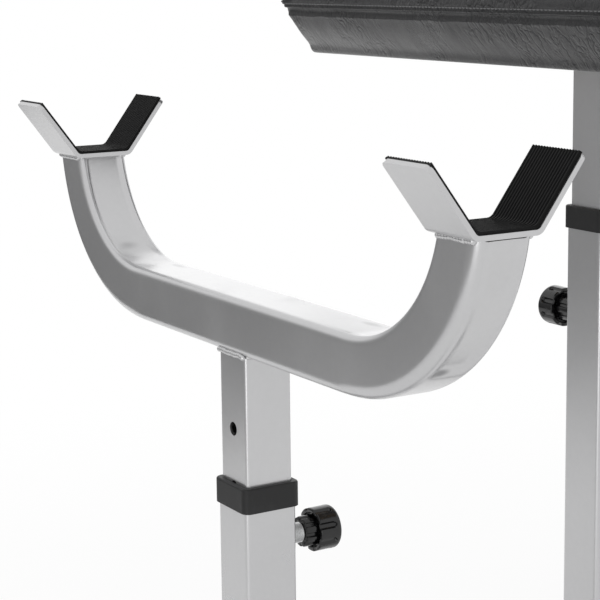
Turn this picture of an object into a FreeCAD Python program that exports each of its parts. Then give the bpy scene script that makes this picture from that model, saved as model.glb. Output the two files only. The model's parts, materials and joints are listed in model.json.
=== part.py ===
import FreeCAD, Part
import math
import os

from FreeCAD import Placement, Rotation, Vector

# Preacher curl bench, in millimetres. X runs along the barbell, Y from the bar rest back to the seat,
# and Z up from the floor. The origin is on the floor under the middle of the bench.

# Square tubes. Each outer tube guides an inner tube that slides up and down in it.
outer_tube = 50.0
outer_wall = 2.0
outer_corner = 4.0
inner_tube = 45.0
inner_wall = 2.0
inner_corner = 3.0

# Places of the three telescopes along the bench, and the heights of their collars and pins.
bar_post_y = -403.0
pad_post_y = -13.0
seat_post_y = 337.0
bar_collar_low = 436.0
pad_collar_low = 644.0
seat_collar_low = 313.0
bar_pin_height = 401.5
pad_pin_height = 557.0
seat_pin_height = 278.0

# Pin holes in the inner tubes, counted from the hole that holds the pin at rest.
bar_hole_pitch = 52.0
bar_hole_count_above = 2
bar_hole_count_below = 4
pad_hole_pitch = 30.0
pad_hole_count_above = 3
pad_hole_count_below = 3
seat_hole_pitch = 25.0
seat_hole_count_above = 3
seat_hole_count_below = 3
hole_diameter = 12.0
post_end_margin = 22.0

# Guide collars on the outer tubes, and glides that plug the lower ends of the inner tubes.
collar_height = 22.0
collar_wall = 2.75
collar_lip = 4.0
collar_edge = 1.8
slide_clearance = 0.3
socket_clearance = 0.1
glide_flange = 4.0
glide_spigot = 13.0

# Base: a rail between two cross feet, all from one square tube.
rail_tube = 50.0
rail_wall = 2.0
rail_corner = 4.0
floor_gap = 10.0
foot_length = 640.0
foot_reach = 60.0
flange_width = 110.0
flange_thickness = 5.0
cap_length = 42.0
cap_wall = 3.0
cap_end = 4.0
cap_low = 4.0
cap_edge = 2.5
floor_pad_diameter = 32.0
floor_pad_height = 6.0
gusset_size = 60.0
gusset_thickness = 5.0
gusset_trim = 8.0

# Bolts through the feet into the rail flanges.
bolt_diameter = 10.0
bolt_hole_clearance = 0.2
bolt_spacing = 80.0
bolt_flats = 17.0
bolt_head_height = 6.4
bolt_nut_height = 8.0
bolt_end = 3.0
bolt_washer_diameter = 20.0
bolt_washer_thickness = 2.0

# Spring pull pins.
pin_diameter = 11.0
pin_bite = 4.5
pin_tip_chamfer = 2.0
pin_clearance = 0.05
shoulder_diameter = 14.4
shoulder_thickness = 3.0
stem_diameter = 8.0
pin_nut_diameter = 24.0
pin_nut_height = 6.0
sleeve_diameter = 18.0
sleeve_chamber = 15.0
sleeve_guide = 5.0
sleeve_length = 27.0
thread_pitch = 1.6
thread_depth = 0.8
cap_flats = 24.0
cap_cover = 5.0
cap_roof = 5.0
knob_diameter = 39.0
knob_length = 22.0
knob_overlap = 3.0
knob_gap = 0.5
knob_mouth = 31.0
knob_edge = 3.0
knob_socket = 14.0
flute_count = 8
flute_diameter = 8.0
flute_length = 17.0
flute_offset = 1.6
spring_wire = 1.2
spring_diameter = 11.6
spring_turns = 6
spring_seat_gap = 0.2

# Bar rest: a U of bent tube, with a bent V plate and a ribbed rubber liner on each arm.
rest_height = 572.0
rest_tube_width = 50.0
rest_tube_depth = 49.0
rest_wall = 2.0
rest_corner = 6.5
rest_half_span = 350.0
rest_bend_radius = 170.0
rest_bend_sink = 3.5
rest_sink_ramp = 25.0
arm_height = 141.3
cradle_width = 55.0
cradle_thickness = 4.0
cradle_half_flat = 28.5
cradle_wing = 65.4
cradle_angle = 53.0
cradle_bend = 9.0
cradle_tip_radius = 5.0
liner_width = 53.0
liner_base = 1.8
liner_rib_height = 1.2
liner_rib_count = 17
liner_rib_share = 0.55
liner_overhang = 1.6

# Arm pad, tilted down towards the bar rest, and seat, which is level.
pad_slope = 41.0
pad_seat_height = 926.0
pad_front_reach = 184.0
pad_width = 632.0
pad_length = 290.0
pad_corner = 16.0
seat_plate_height = 462.0
seat_width = 360.0
seat_length = 320.0
seat_corner = 55.0
board_thickness = 15.0
board_inset = 14.0
board_corner = 12.0
board_clearance = 0.2

# Cushion profile: the hem is drawn in under the widest line, and the top closes in to a crown.
pad_thickness = 88.0
pad_belly = 30.0
pad_hem = 4.0
seat_thickness = 64.0
seat_belly = 21.0
seat_hem = 7.0
cushion_hem_steps = 3
cushion_crown_steps = 8
pad_crown_reach = 44.0
pad_crown_power = 3.5
seat_crown_reach = 66.0
seat_crown_power = 3.0

# Brackets under the pad and the seat, and their screws.
bracket_width = 170.0
bracket_length = 120.0
bracket_plate = 4.0
bracket_cheek = 4.0
cheek_span = 90.0
cheek_drop = 40.0
screw_spacing_x = 130.0
screw_spacing_y = 84.0
screw_diameter = 8.0
screw_head_diameter = 15.0
screw_head_height = 4.5
screw_clearance = 0.1
screw_washer_diameter = 19.0
screw_washer_thickness = 1.6
tee_nut_diameter = 20.0
tee_nut_flange = 1.6
tee_nut_barrel = 10.0

rail_top = floor_gap + rail_tube
rail_mid = floor_gap + rail_tube / 2
front_foot_y = bar_post_y - foot_reach
rear_foot_y = seat_post_y + foot_reach
across_x = Vector(1, 0, 0)
across_y = Vector(0, 1, 0)
upward = Vector(0, 0, 1)
zero = Vector(0, 0, 0)
full_turn = 360.0
quarter_turn = full_turn / 4
to_y = Placement(zero, Rotation(across_x, -quarter_turn))
to_x = Placement(zero, Rotation(across_y, quarter_turn))
turned_round = Placement(zero, Rotation(upward, full_turn / 2))
same_place = 1e-4
os.makedirs("parts", exist_ok=True)


def wall_edge(start, end, sink):
    """Straight edge of a section, or an arc that sinks towards the Z axis."""
    middle = (start + end) * 0.5
    depth = math.hypot(middle.x, middle.y)
    if not sink:
        return Part.LineSegment(start, end).toShape()
    inward = Vector(-middle.x, -middle.y, 0) * (sink / depth)
    return Part.Arc(start, middle + inward, end).toShape()


def rounded_wire(width, length, corner, height=0.0, sink=0.0):
    """Rectangle with round corners, centred on the Z axis: width along X, length along Y.

    The two sides that face along X can sink in."""
    x_far = width / 2
    y_far = length / 2
    x_near = x_far - corner
    y_near = y_far - corner
    diagonal = corner * math.sqrt(0.5)
    edges = []
    for x_sign, y_sign, swap in ((1, 1, False), (-1, 1, True), (-1, -1, False), (1, -1, True)):
        on_x_side = Vector(x_sign * x_far, y_sign * y_near, height)
        on_y_side = Vector(x_sign * x_near, y_sign * y_far, height)
        middle = Vector(x_sign * (x_near + diagonal), y_sign * (y_near + diagonal), height)
        start, end = (on_y_side, on_x_side) if swap else (on_x_side, on_y_side)
        if edges:
            edges.append(wall_edge(last, start, 0.0 if swap else sink))
        else:
            first = start
        edges.append(Part.Arc(start, middle, end).toShape())
        last = end
    edges.append(wall_edge(last, first, sink))
    return Part.Wire(edges)


def rounded_bar(width, length, corner, low, high):
    """Upright solid bar with round corners."""
    return Part.Face(rounded_wire(width, length, corner, low)).extrude(upward * (high - low))


def square_tube(size, wall, corner, low, high):
    """Upright square tube."""
    bore = rounded_bar(size - 2 * wall, size - 2 * wall, corner - wall / 2, low, high)
    return rounded_bar(size, size, corner, low, high).cut(bore)


def disc(diameter, low, high):
    """Round bar on the Z axis."""
    return Part.makeCylinder(diameter / 2, high - low, Vector(0, 0, low))


def ring(diameter, bore, low, high):
    """Round bar with a bore, on the Z axis."""
    return disc(diameter, low, high).cut(disc(bore, low, high))


def hexagon(flats, low, high):
    """Hexagonal bar on the Z axis, with its flats a given distance apart."""
    reach = flats / 2 / math.cos(math.pi / 6)
    angles = [side * math.pi / 3 for side in range(7)]
    corners = [Vector(reach * math.cos(angle), reach * math.sin(angle), low) for angle in angles]
    return Part.Face(Part.makePolygon(corners)).extrude(upward * (high - low))


def moved(shape, x=0.0, y=0.0, z=0.0):
    """Copy of a shape, shifted."""
    copy = shape.copy()
    copy.translate(Vector(x, y, z))
    return copy


def placed(shape, placement):
    """Copy of a shape, turned and shifted from where it is."""
    copy = shape.copy()
    copy.Placement = placement.multiply(copy.Placement)
    return copy


def edges_at(shape, height):
    """Edges that lie level at a given height."""
    return [edge for edge in shape.Edges if abs(edge.CenterOfMass.z - height) < same_place]


def export(name, *solids):
    """Write one node: one solid, or a group of separate ones."""
    shape = solids[0] if len(solids) == 1 else Part.makeCompound(list(solids))
    shape.exportStep("parts/" + name + ".step")


# Base

def cross_foot():
    """Foot tube along X with bolt holes along Y, centred on the origin."""
    tube = moved(square_tube(rail_tube, rail_wall, rail_corner, 0, foot_length), z=-foot_length / 2)
    tube = placed(tube, to_x)
    drill = disc(bolt_diameter + 2 * bolt_hole_clearance, -rail_tube, rail_tube)
    for side in (-1, 1):
        tube = tube.cut(moved(placed(drill, to_y), x=side * bolt_spacing / 2))
    return tube


def rail_flange():
    """Plate across a rail end, drilled for the foot bolts, with its outer face on the XZ plane."""
    plate = Part.makeBox(flange_width, flange_thickness, rail_tube)
    plate.translate(Vector(-flange_width / 2, 0, -rail_tube / 2))
    drill = disc(bolt_diameter + 2 * bolt_hole_clearance, -flange_thickness, 2 * flange_thickness)
    for side in (-1, 1):
        plate = plate.cut(moved(placed(drill, to_y), x=side * bolt_spacing / 2))
    return plate


def foot_cap():
    """Cap over the +X end of a foot tube whose end face is at the origin, with a recess for the floor pad."""
    outside = rail_tube + 2 * cap_wall
    socket = rail_tube + 2 * socket_clearance
    drop = floor_gap - cap_low - cap_wall
    sleeve_end = cap_end - cap_length
    block = rounded_bar(outside + drop, outside, rail_corner + cap_wall, sleeve_end, cap_end)
    block = block.makeFillet(cap_edge, edges_at(block, cap_end))
    block = moved(placed(block, to_x), z=-drop / 2)
    hollow = rounded_bar(socket, socket, rail_corner + socket_clearance, sleeve_end, 0)
    block = block.cut(placed(hollow, to_x))
    low = cap_low - rail_mid
    recess = disc(floor_pad_diameter + 2 * socket_clearance, low, floor_pad_height - rail_mid)
    return block.cut(moved(recess, x=floor_pad_x))


def foot_bolt_set():
    """Bolt, washers and nut of one foot joint, along Y from the foot's outer face at the origin."""
    grip = rail_tube + flange_thickness
    head_low = -bolt_washer_thickness - bolt_head_height
    nut_low = grip + bolt_washer_thickness
    shank = disc(bolt_diameter, -bolt_washer_thickness, nut_low + bolt_nut_height + bolt_end)
    bolt = hexagon(bolt_flats, head_low, -bolt_washer_thickness).fuse(shank)
    bore = bolt_diameter + 2 * bolt_hole_clearance
    washers = []
    for low in (-bolt_washer_thickness, grip):
        washers.append(ring(bolt_washer_diameter, bore, low, low + bolt_washer_thickness))
    nut = hexagon(bolt_flats, nut_low, nut_low + bolt_nut_height)
    nut = nut.cut(disc(bolt_diameter, nut_low, nut_low + bolt_nut_height))
    return [placed(piece, to_y) for piece in (bolt, *washers, nut)]


def gusset(post_y, side):
    """Triangular plate in the corner between an upright and the rail, on the front (-1) or back (1)."""
    root = post_y + side * outer_tube / 2
    far = root + side * gusset_size
    corners = [
        Vector(-gusset_thickness / 2, root, rail_top),
        Vector(-gusset_thickness / 2, far, rail_top),
        Vector(-gusset_thickness / 2, far, rail_top + gusset_trim),
        Vector(-gusset_thickness / 2, root + side * gusset_trim, rail_top + gusset_size),
        Vector(-gusset_thickness / 2, root, rail_top + gusset_size),
    ]
    return Part.Face(Part.makePolygon(corners + corners[:1])).extrude(across_x * gusset_thickness)


floor_pad_x = cap_end - cap_length / 2
foot_places = (
    Placement(Vector(0, front_foot_y, rail_mid), Rotation()),
    Placement(Vector(0, rear_foot_y, rail_mid), turned_round.Rotation),
)
export("front_foot", placed(cross_foot(), foot_places[0]))
export("rear_foot", placed(cross_foot(), foot_places[1]))

rail_front = front_foot_y + rail_tube / 2 + flange_thickness
rail_back = rear_foot_y - rail_tube / 2 - flange_thickness
rail = placed(square_tube(rail_tube, rail_wall, rail_corner, rail_front, rail_back), to_y)
export("base_rail", moved(rail, z=rail_mid))

flanges = []
caps = []
floor_pads = []
bolts = []
washers = []
nuts = []
floor_pad = disc(floor_pad_diameter, -rail_mid, floor_pad_height - rail_mid)
for place in foot_places:
    flanges.append(placed(moved(rail_flange(), y=rail_tube / 2), place))
    for end_turn in (Placement(), turned_round):
        end_place = place.multiply(end_turn).multiply(Placement(Vector(foot_length / 2, 0, 0), Rotation()))
        caps.append(placed(foot_cap(), end_place))
        floor_pads.append(placed(moved(floor_pad, x=floor_pad_x), end_place))
    for side in (-1, 1):
        bolt_place = place.multiply(Placement(Vector(side * bolt_spacing / 2, -rail_tube / 2, 0), Rotation()))
        bolt, head_washer, nut_washer, nut = [placed(piece, bolt_place) for piece in foot_bolt_set()]
        bolts.append(bolt)
        washers.extend((head_washer, nut_washer))
        nuts.append(nut)
export("rail_flanges", *flanges)
export("foot_caps", *caps)
export("floor_pads", *floor_pads)
export("foot_bolts", *bolts)
export("foot_washers", *washers)
export("foot_nuts", *nuts)
gusset_places = ((bar_post_y, 1), (pad_post_y, -1), (pad_post_y, 1), (seat_post_y, -1))
export("gussets", *[gusset(post_y, side) for post_y, side in gusset_places])


# Telescopes, each made on the Z axis with its pull pin towards +Y

def upright(collar_low, pin_height):
    """Outer tube from the rail up into its collar, drilled for the pull pin."""
    tube_top = collar_low + collar_height - collar_lip
    tube = square_tube(outer_tube, outer_wall, outer_corner, rail_top, tube_top)
    drill = disc(pin_diameter + 2 * pin_clearance, 0, outer_tube)
    return tube.cut(moved(placed(drill, to_y), z=pin_height))


def collar(low):
    """Plastic collar: a cap over the outer tube with a lip that guides the inner tube."""
    outside = outer_tube + 2 * collar_wall
    high = low + collar_height
    block = rounded_bar(outside, outside, outer_corner + collar_wall, low, high)
    block = block.makeFillet(collar_edge, edges_at(block, high))
    socket = outer_tube + 2 * socket_clearance
    block = block.cut(rounded_bar(socket, socket, outer_corner + socket_clearance, low, high - collar_lip))
    guide = inner_tube + 2 * slide_clearance
    return block.cut(rounded_bar(guide, guide, inner_corner + slide_clearance, low, high))


def post_end(pin_height, pitch, below):
    """Height of the inner tube's lower end."""
    return pin_height - below * pitch - post_end_margin


def post(pin_height, pitch, above, below, high):
    """Inner tube with its row of pin holes through front and back."""
    tube = square_tube(inner_tube, inner_wall, inner_corner, post_end(pin_height, pitch, below), high)
    drill = placed(disc(hole_diameter, -inner_tube, inner_tube), to_y)
    for step in range(-below, above + 1):
        tube = tube.cut(moved(drill, z=pin_height + step * pitch))
    return tube


def glide(post_low):
    """Plastic plug in the lower end of an inner tube; its flange guides the tube in the outer one."""
    flange = outer_tube - 2 * outer_wall - 2 * slide_clearance
    spigot = inner_tube - 2 * inner_wall - 2 * socket_clearance
    plug = rounded_bar(spigot, spigot, inner_corner - inner_wall / 2, post_low, post_low + glide_spigot)
    return plug.fuse(rounded_bar(flange, flange, inner_corner, post_low - glide_flange, post_low))


def print_least_gap(path, wire):
    """Print the least room between a spring's turns, measured on points along its path."""
    turn_points = 48
    points = path.discretize(Number=turn_points * spring_turns)
    gaps = []
    for place, point in enumerate(points):
        gaps.extend((point - other).Length - wire for other in points[place + turn_points // 2:])
    print("least gap between spring turns, mm:", round(min(gaps), 2))


def coil(low, high):
    """Compression spring on the Z axis, swept along biarcs of a quarter turn each."""
    radius = spring_diameter / 2
    bottom = low + spring_wire / 2
    rise = (high - low - spring_wire) / (2 * math.pi * spring_turns)
    quarter = math.pi / 2

    def place_and_heading(angle):
        point = Vector(radius * math.cos(angle), radius * math.sin(angle), bottom + rise * angle)
        heading = Vector(-radius * math.sin(angle), radius * math.cos(angle), rise)
        return point, heading.normalize()

    def arc(start, control, end):
        chord_middle = (start + end) * 0.5
        bend = (control - start).getAngle(end - start)
        middle = chord_middle + (control - chord_middle) * (math.tan(bend / 2) / math.tan(bend))
        return Part.Arc(start, middle, end).toShape()

    edges = []
    for step in range(4 * spring_turns):
        start, leaving = place_and_heading(step * quarter)
        end, arriving = place_and_heading((step + 1) * quarter)
        chord = end - start
        headings = leaving + arriving
        turn = 2 * (1 - leaving.dot(arriving))
        along = chord.dot(headings)
        reach = (math.sqrt(along * along + turn * chord.dot(chord)) - along) / turn
        first_control = start + leaving * reach
        second_control = end - arriving * reach
        joint = (first_control + second_control) * 0.5
        edges.append(arc(start, first_control, joint))
        edges.append(arc(joint, second_control, end))
    first_point, first_heading = place_and_heading(0)
    section = Part.Wire(Part.Circle(first_point, first_heading, spring_wire / 2).toShape())
    path = Part.Wire(edges)
    print_least_gap(path, spring_wire)
    sweep = Part.BRepOffsetAPI.MakePipeShell(path)
    sweep.add(section)
    sweep.build()
    sweep.makeSolid()
    return sweep.shape()


def revolved(outline):
    """Solid of revolution about the Z axis from (radius, height) corners."""
    corners = [Vector(radius, 0, height) for radius, height in outline]
    return Part.Face(Part.makePolygon(corners + corners[:1])).revolve(zero, upward, full_turn)


def pull_pin():
    """Pieces of one pull pin along +Z, measured out from the axis of the outer tube."""
    face = outer_tube / 2
    cap_start = face + sleeve_length - cap_cover
    cap_stop = face + sleeve_length + cap_roof
    shoulder_low = face + sleeve_guide
    shoulder_high = shoulder_low + shoulder_thickness
    tip = inner_tube / 2 - inner_wall - pin_bite
    knob_low = cap_stop - knob_overlap
    knob_high = knob_low + knob_length
    floor = cap_stop + knob_gap
    sleeve_radius = sleeve_diameter / 2

    nut = ring(pin_nut_diameter, sleeve_diameter + 2 * pin_clearance, face, face + pin_nut_height)

    thread_start = face + pin_nut_height
    thread_count = int((cap_start - thread_start) / thread_pitch)
    outline = [(sleeve_radius, face), (sleeve_radius, thread_start)]
    for turn in range(thread_count):
        valley = thread_start + (turn + 0.5) * thread_pitch
        outline.append((sleeve_radius - thread_depth, valley))
        outline.append((sleeve_radius, valley + thread_pitch / 2))
    outline.append((sleeve_radius, face + sleeve_length))
    outline.append((sleeve_chamber / 2, face + sleeve_length))
    outline.append((sleeve_chamber / 2, shoulder_low))
    outline.append((pin_diameter / 2 + pin_clearance, shoulder_low))
    outline.append((pin_diameter / 2 + pin_clearance, face))
    sleeve = revolved(outline)

    cap = hexagon(cap_flats, cap_start, cap_stop)
    cap = cap.cut(disc(sleeve_diameter + 2 * pin_clearance, cap_start, face + sleeve_length))
    cap = cap.cut(disc(stem_diameter + 2 * pin_clearance, cap_start, cap_stop))

    pin = revolved([
        (0, tip), (pin_diameter / 2 - pin_tip_chamfer, tip), (pin_diameter / 2, tip + pin_tip_chamfer),
        (pin_diameter / 2, shoulder_low), (shoulder_diameter / 2, shoulder_low),
        (shoulder_diameter / 2, shoulder_high), (stem_diameter / 2, shoulder_high),
        (stem_diameter / 2, floor + knob_socket), (0, floor + knob_socket),
    ])

    knob = disc(knob_diameter, knob_low, knob_high)
    knob = knob.makeFillet(knob_edge, edges_at(knob, knob_high))
    flute_radius = knob_diameter / 2 + flute_offset
    for step in range(flute_count):
        angle = 2 * math.pi * (step + 0.5) / flute_count
        flute = disc(flute_diameter, knob_low, knob_low + flute_length)
        knob = knob.cut(moved(flute, x=flute_radius * math.cos(angle), y=flute_radius * math.sin(angle)))
    knob = knob.cut(disc(knob_mouth, knob_low, floor))
    knob = knob.cut(disc(stem_diameter, floor, floor + knob_socket))

    spring = coil(shoulder_high + spring_seat_gap, face + sleeve_length - spring_seat_gap)
    return nut, sleeve, cap, pin, knob, spring


def telescope(name, post_y, turn, collar_low, pin_height, pitch, above, below, post_top):
    """Export one telescope's own pieces; return its inner tube and the fixed half of its pull pin."""
    place = Placement(Vector(0, post_y, 0), Rotation(upward, turn))
    pin_place = place.multiply(Placement(Vector(0, 0, pin_height), to_y.Rotation))
    export(name + "_upright", placed(upright(collar_low, pin_height), place))
    export(name + "_collar", placed(collar(collar_low), place))
    export(name + "_glide", placed(glide(post_end(pin_height, pitch, below)), place))
    nut, sleeve, cap, pin, knob, spring = [placed(piece, pin_place) for piece in pull_pin()]
    export(name + "_pin", pin)
    export(name + "_knob", knob)
    export(name + "_spring", spring)
    return placed(post(pin_height, pitch, above, below, post_top), place), nut, sleeve, cap


# Bar rest

def rest_tube():
    """U of square tube in the XZ plane, its underside at the origin, with the arm tops cut level.

    The inner and outer walls of its bends are sunk, as bending leaves them."""
    straight = rest_half_span - rest_bend_radius
    even = straight - rest_sink_ramp

    def bent_bar(inset):
        width = rest_tube_width - 2 * inset
        depth = rest_tube_depth - 2 * inset
        corner = rest_corner - inset / 2
        flat_section = moved(placed(rounded_wire(depth, width, corner), to_x), z=rest_tube_depth / 2)
        sunk_section = rounded_wire(depth, width, corner, sink=rest_bend_sink)
        sunk_section = moved(placed(sunk_section, to_x), z=rest_tube_depth / 2)
        pieces = [Part.Face(moved(flat_section, x=-even)).extrude(across_x * (2 * even))]
        for side in (-1, 1):
            ramp_start = moved(flat_section, x=side * even)
            bend_start = moved(sunk_section, x=side * straight)
            bend_centre = Vector(side * straight, 0, rest_bend_radius)
            pieces.append(Part.makeLoft([ramp_start, bend_start], True, True))
            pieces.append(Part.Face(bend_start).revolve(bend_centre, across_y, -side * quarter_turn))
        return pieces[0].fuse(pieces[1:])

    tube = bent_bar(0).cut(bent_bar(rest_wall))
    keep = Part.makeBox(2 * rest_half_span, 2 * rest_tube_width, arm_height)
    keep.translate(Vector(-rest_half_span, -rest_tube_width, 0))
    return tube.common(keep)


def vee_line(offset, reach):
    """Points along half of the V, on a line a given distance above its underside: flat, bend and tip."""
    angle = math.radians(cradle_angle)
    centre_y = cradle_half_flat - cradle_bend * math.tan(angle / 2)
    radius = cradle_bend - offset
    flat = (centre_y, offset)
    middle = (centre_y + radius * math.sin(angle / 2), cradle_bend - radius * math.cos(angle / 2))
    end = (centre_y + radius * math.sin(angle), cradle_bend - radius * math.cos(angle))
    tip_y = cradle_half_flat + reach * math.cos(angle) - offset * math.sin(angle)
    tip_z = reach * math.sin(angle) + offset * math.cos(angle)
    return flat, middle, end, (tip_y, tip_z)


def vee(low, high, reach, x_start, x_stop):
    """Sheet bent into a V across Y, between two distances above its underside, from one X to another."""
    def at(point, side):
        return Vector(x_start, side * point[0], point[1])

    edges = []
    lower = vee_line(low, reach)
    upper = vee_line(high, reach)
    for flat, middle, end, tip in (lower, upper):
        edges.append(Part.LineSegment(at(flat, -1), at(flat, 1)).toShape())
        for side in (-1, 1):
            edges.append(Part.Arc(at(flat, side), at(middle, side), at(end, side)).toShape())
            edges.append(Part.LineSegment(at(end, side), at(tip, side)).toShape())
    for side in (-1, 1):
        edges.append(Part.LineSegment(at(lower[3], side), at(upper[3], side)).toShape())
    outline = Part.Wire(Part.__sortEdges__(edges))
    return Part.Face(outline).extrude(across_x * (x_stop - x_start))


def cradle():
    """Bent V plate with its tips rounded, centred on X = 0 with its underside at Z = 0."""
    plate = vee(0, cradle_thickness, cradle_wing, -cradle_width / 2, cradle_width / 2)
    tips = [edge for edge in plate.Edges if abs(edge.Length - cradle_thickness) < same_place]
    return plate.makeFillet(cradle_tip_radius, tips)


def liner():
    """Rubber sheet on the V plate, with ribs that follow the V from tip to tip."""
    reach = cradle_wing + liner_overhang
    base_top = cradle_thickness + liner_base
    rib_top = base_top + liner_rib_height
    sheet = vee(cradle_thickness, base_top, reach, -liner_width / 2, liner_width / 2)
    pitch = liner_width / liner_rib_count
    ribs = []
    for step in range(liner_rib_count):
        middle = (step + 0.5) * pitch - liner_width / 2
        half_rib = liner_rib_share * pitch / 2
        ribs.append(vee(cradle_thickness, rib_top, reach, middle - half_rib, middle + half_rib))
    return sheet.fuse(ribs).removeSplitter()


# Arm pad and seat

def cushion_sections(thickness, belly, hem, crown_reach, crown_power):
    """Heights and insets of a cushion's outline, from its hem up over its widest line to the crown."""
    sections = []
    for step in range(cushion_hem_steps):
        angle = math.pi / 2 * step / cushion_hem_steps
        sections.append((belly * (1 - math.cos(angle)), hem * (1 - math.sin(angle))))
    for step in range(cushion_crown_steps + 1):
        angle = math.pi / 2 * step / cushion_crown_steps
        rise = math.sin(angle) ** (2 / crown_power)
        closing = 1 - max(math.cos(angle), 0) ** (2 / crown_power)
        sections.append((belly + (thickness - belly) * rise, crown_reach * closing))
    return sections


def board_round(corner):
    """Corner radius of the board in a cushion: it follows the cushion's corner, but is never sharp."""
    return max(corner - board_inset, board_corner)


def cushion(width, length, corner, sections):
    """Upholstered block with a drawn-in hem and a crown, hollowed underneath for its board."""
    wires = []
    for height, inset in sections:
        wires.append(rounded_wire(width - 2 * inset, length - 2 * inset, corner, height))
    block = Part.makeLoft(wires, True)
    room = 2 * board_clearance - 2 * board_inset
    corner_room = board_round(corner) + board_clearance
    return block.cut(rounded_bar(width + room, length + room, corner_room, 0, board_thickness))


def board(width, length, corner):
    """Plywood board inside a cushion's hem."""
    return rounded_bar(width - 2 * board_inset, length - 2 * board_inset, board_round(corner), 0, board_thickness)


def screw_places(plate_y):
    """Centres of the four screws of a bracket."""
    return [(i * screw_spacing_x / 2, plate_y + j * screw_spacing_y / 2) for i in (-1, 1) for j in (-1, 1)]


def drilled(shape, plate_y, tool):
    """Shape with one copy of a tool cut out at each screw."""
    for x, y in screw_places(plate_y):
        shape = shape.cut(moved(tool, x=x, y=y))
    return shape


def bracket(slope, plate_y):
    """Plate under a board and two cheeks that straddle the inner tube; the board's underside is Z = 0."""
    plate = Part.makeBox(bracket_width, bracket_length, bracket_plate)
    plate.translate(Vector(-bracket_width / 2, plate_y - bracket_length / 2, -bracket_plate))
    drill = disc(screw_diameter + 2 * screw_clearance, -2 * bracket_plate, bracket_plate)
    plate = drilled(plate, plate_y, drill)
    tilt = math.radians(slope)
    down = Vector(0, -math.sin(tilt), -math.cos(tilt))
    across = Vector(0, math.cos(tilt), -math.sin(tilt))
    foot = Vector(0, 0, -bracket_plate) + down * (cheek_drop + inner_tube / 2 * math.tan(tilt))
    corners = [
        Vector(0, -cheek_span / 2, -bracket_plate),
        Vector(0, cheek_span / 2, -bracket_plate),
        foot + across * (inner_tube / 2),
        foot - across * (inner_tube / 2),
    ]
    cheek = Part.Face(Part.makePolygon(corners + corners[:1])).extrude(across_x * bracket_cheek)
    left = moved(cheek, x=-inner_tube / 2 - bracket_cheek)
    right = moved(cheek, x=inner_tube / 2)
    return plate, left, right


def rest_pieces(name, place, width, length, corner, sections, middle_y, slope, plate_y):
    """Export a cushion with its board, bracket and screws; the board's underside is the place's XY plane."""
    barrel = screw_diameter + 2 * screw_clearance
    flange_low = board_thickness - tee_nut_flange
    barrel_hole = disc(tee_nut_barrel, 0, board_thickness)
    flange_hole = disc(tee_nut_diameter, flange_low, board_thickness)
    plank = drilled(moved(board(width, length, corner), y=middle_y), plate_y, barrel_hole.fuse(flange_hole))
    tee_nut = disc(tee_nut_barrel, 0, flange_low).fuse(disc(tee_nut_diameter, flange_low, board_thickness))
    tee_nut = tee_nut.cut(disc(barrel, 0, board_thickness))
    washer_low = -bracket_plate - screw_washer_thickness
    washer = ring(screw_washer_diameter, barrel, washer_low, -bracket_plate)
    screw = disc(screw_head_diameter, washer_low - screw_head_height, washer_low)
    screw = screw.fuse(disc(screw_diameter, washer_low, board_thickness))
    spots = screw_places(plate_y)
    export(name + "_cushion", placed(moved(cushion(width, length, corner, sections), y=middle_y), place))
    export(name + "_board", placed(plank, place))
    export(name + "_bracket", *[placed(piece, place) for piece in bracket(slope, plate_y)])
    for piece_name, piece in (("_tee_nuts", tee_nut), ("_washers", washer), ("_screws", screw)):
        export(name + piece_name, *[placed(moved(piece, x=x, y=y), place) for x, y in spots])


pad_place = Placement(Vector(0, pad_post_y, pad_seat_height), Rotation(across_x, pad_slope))
seat_place = Placement(Vector(0, seat_post_y, seat_plate_height), Rotation())
pad_middle = pad_length / 2 - pad_front_reach

bar_sets = telescope(
    "bar", bar_post_y, 0.0, bar_collar_low, bar_pin_height, bar_hole_pitch,
    bar_hole_count_above, bar_hole_count_below, rest_height)
pad_sets = telescope(
    "pad", pad_post_y, quarter_turn, pad_collar_low, pad_pin_height, pad_hole_pitch,
    pad_hole_count_above, pad_hole_count_below, pad_seat_height + pad_front_reach)
seat_sets = telescope(
    "seat", seat_post_y, quarter_turn, seat_collar_low, seat_pin_height, seat_hole_pitch,
    seat_hole_count_above, seat_hole_count_below, seat_plate_height - bracket_plate)
for place_in_set, group_name in ((1, "pin_nuts"), (2, "pin_sleeves"), (3, "pin_caps")):
    export(group_name, *[pieces[place_in_set] for pieces in (bar_sets, pad_sets, seat_sets)])

export("bar_post", bar_sets[0])
export("seat_post", seat_sets[0])
cut_size = 2 * pad_front_reach
above_plate = Part.makeBox(cut_size, 2 * cut_size, cut_size, Vector(-cut_size / 2, -cut_size, -bracket_plate))
export("pad_post", pad_sets[0].cut(placed(above_plate, pad_place)))

rest_place = Vector(0, bar_post_y, rest_height)
rest = rest_tube()
rest.translate(rest_place)
export("bar_rest_tube", rest)
centre_radius = rest_bend_radius - rest_tube_depth / 2
arm_lean = math.sqrt(centre_radius ** 2 - (rest_bend_radius - arm_height) ** 2)
cradle_x = rest_half_span - rest_bend_radius + arm_lean
for side, side_name in ((-1, "left"), (1, "right")):
    arm_top = rest_place + Vector(side * cradle_x, 0, arm_height)
    export(side_name + "_cradle", moved(cradle(), arm_top.x, arm_top.y, arm_top.z))
    export(side_name + "_liner", moved(liner(), arm_top.x, arm_top.y, arm_top.z))

pad_sections = cushion_sections(pad_thickness, pad_belly, pad_hem, pad_crown_reach, pad_crown_power)
rest_pieces(
    "pad", pad_place, pad_width, pad_length, pad_corner, pad_sections, pad_middle, pad_slope, pad_middle / 2)
seat_sections = cushion_sections(seat_thickness, seat_belly, seat_hem, seat_crown_reach, seat_crown_power)
rest_pieces("seat", seat_place, seat_width, seat_length, seat_corner, seat_sections, 0.0, 0.0, 0.0)
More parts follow.
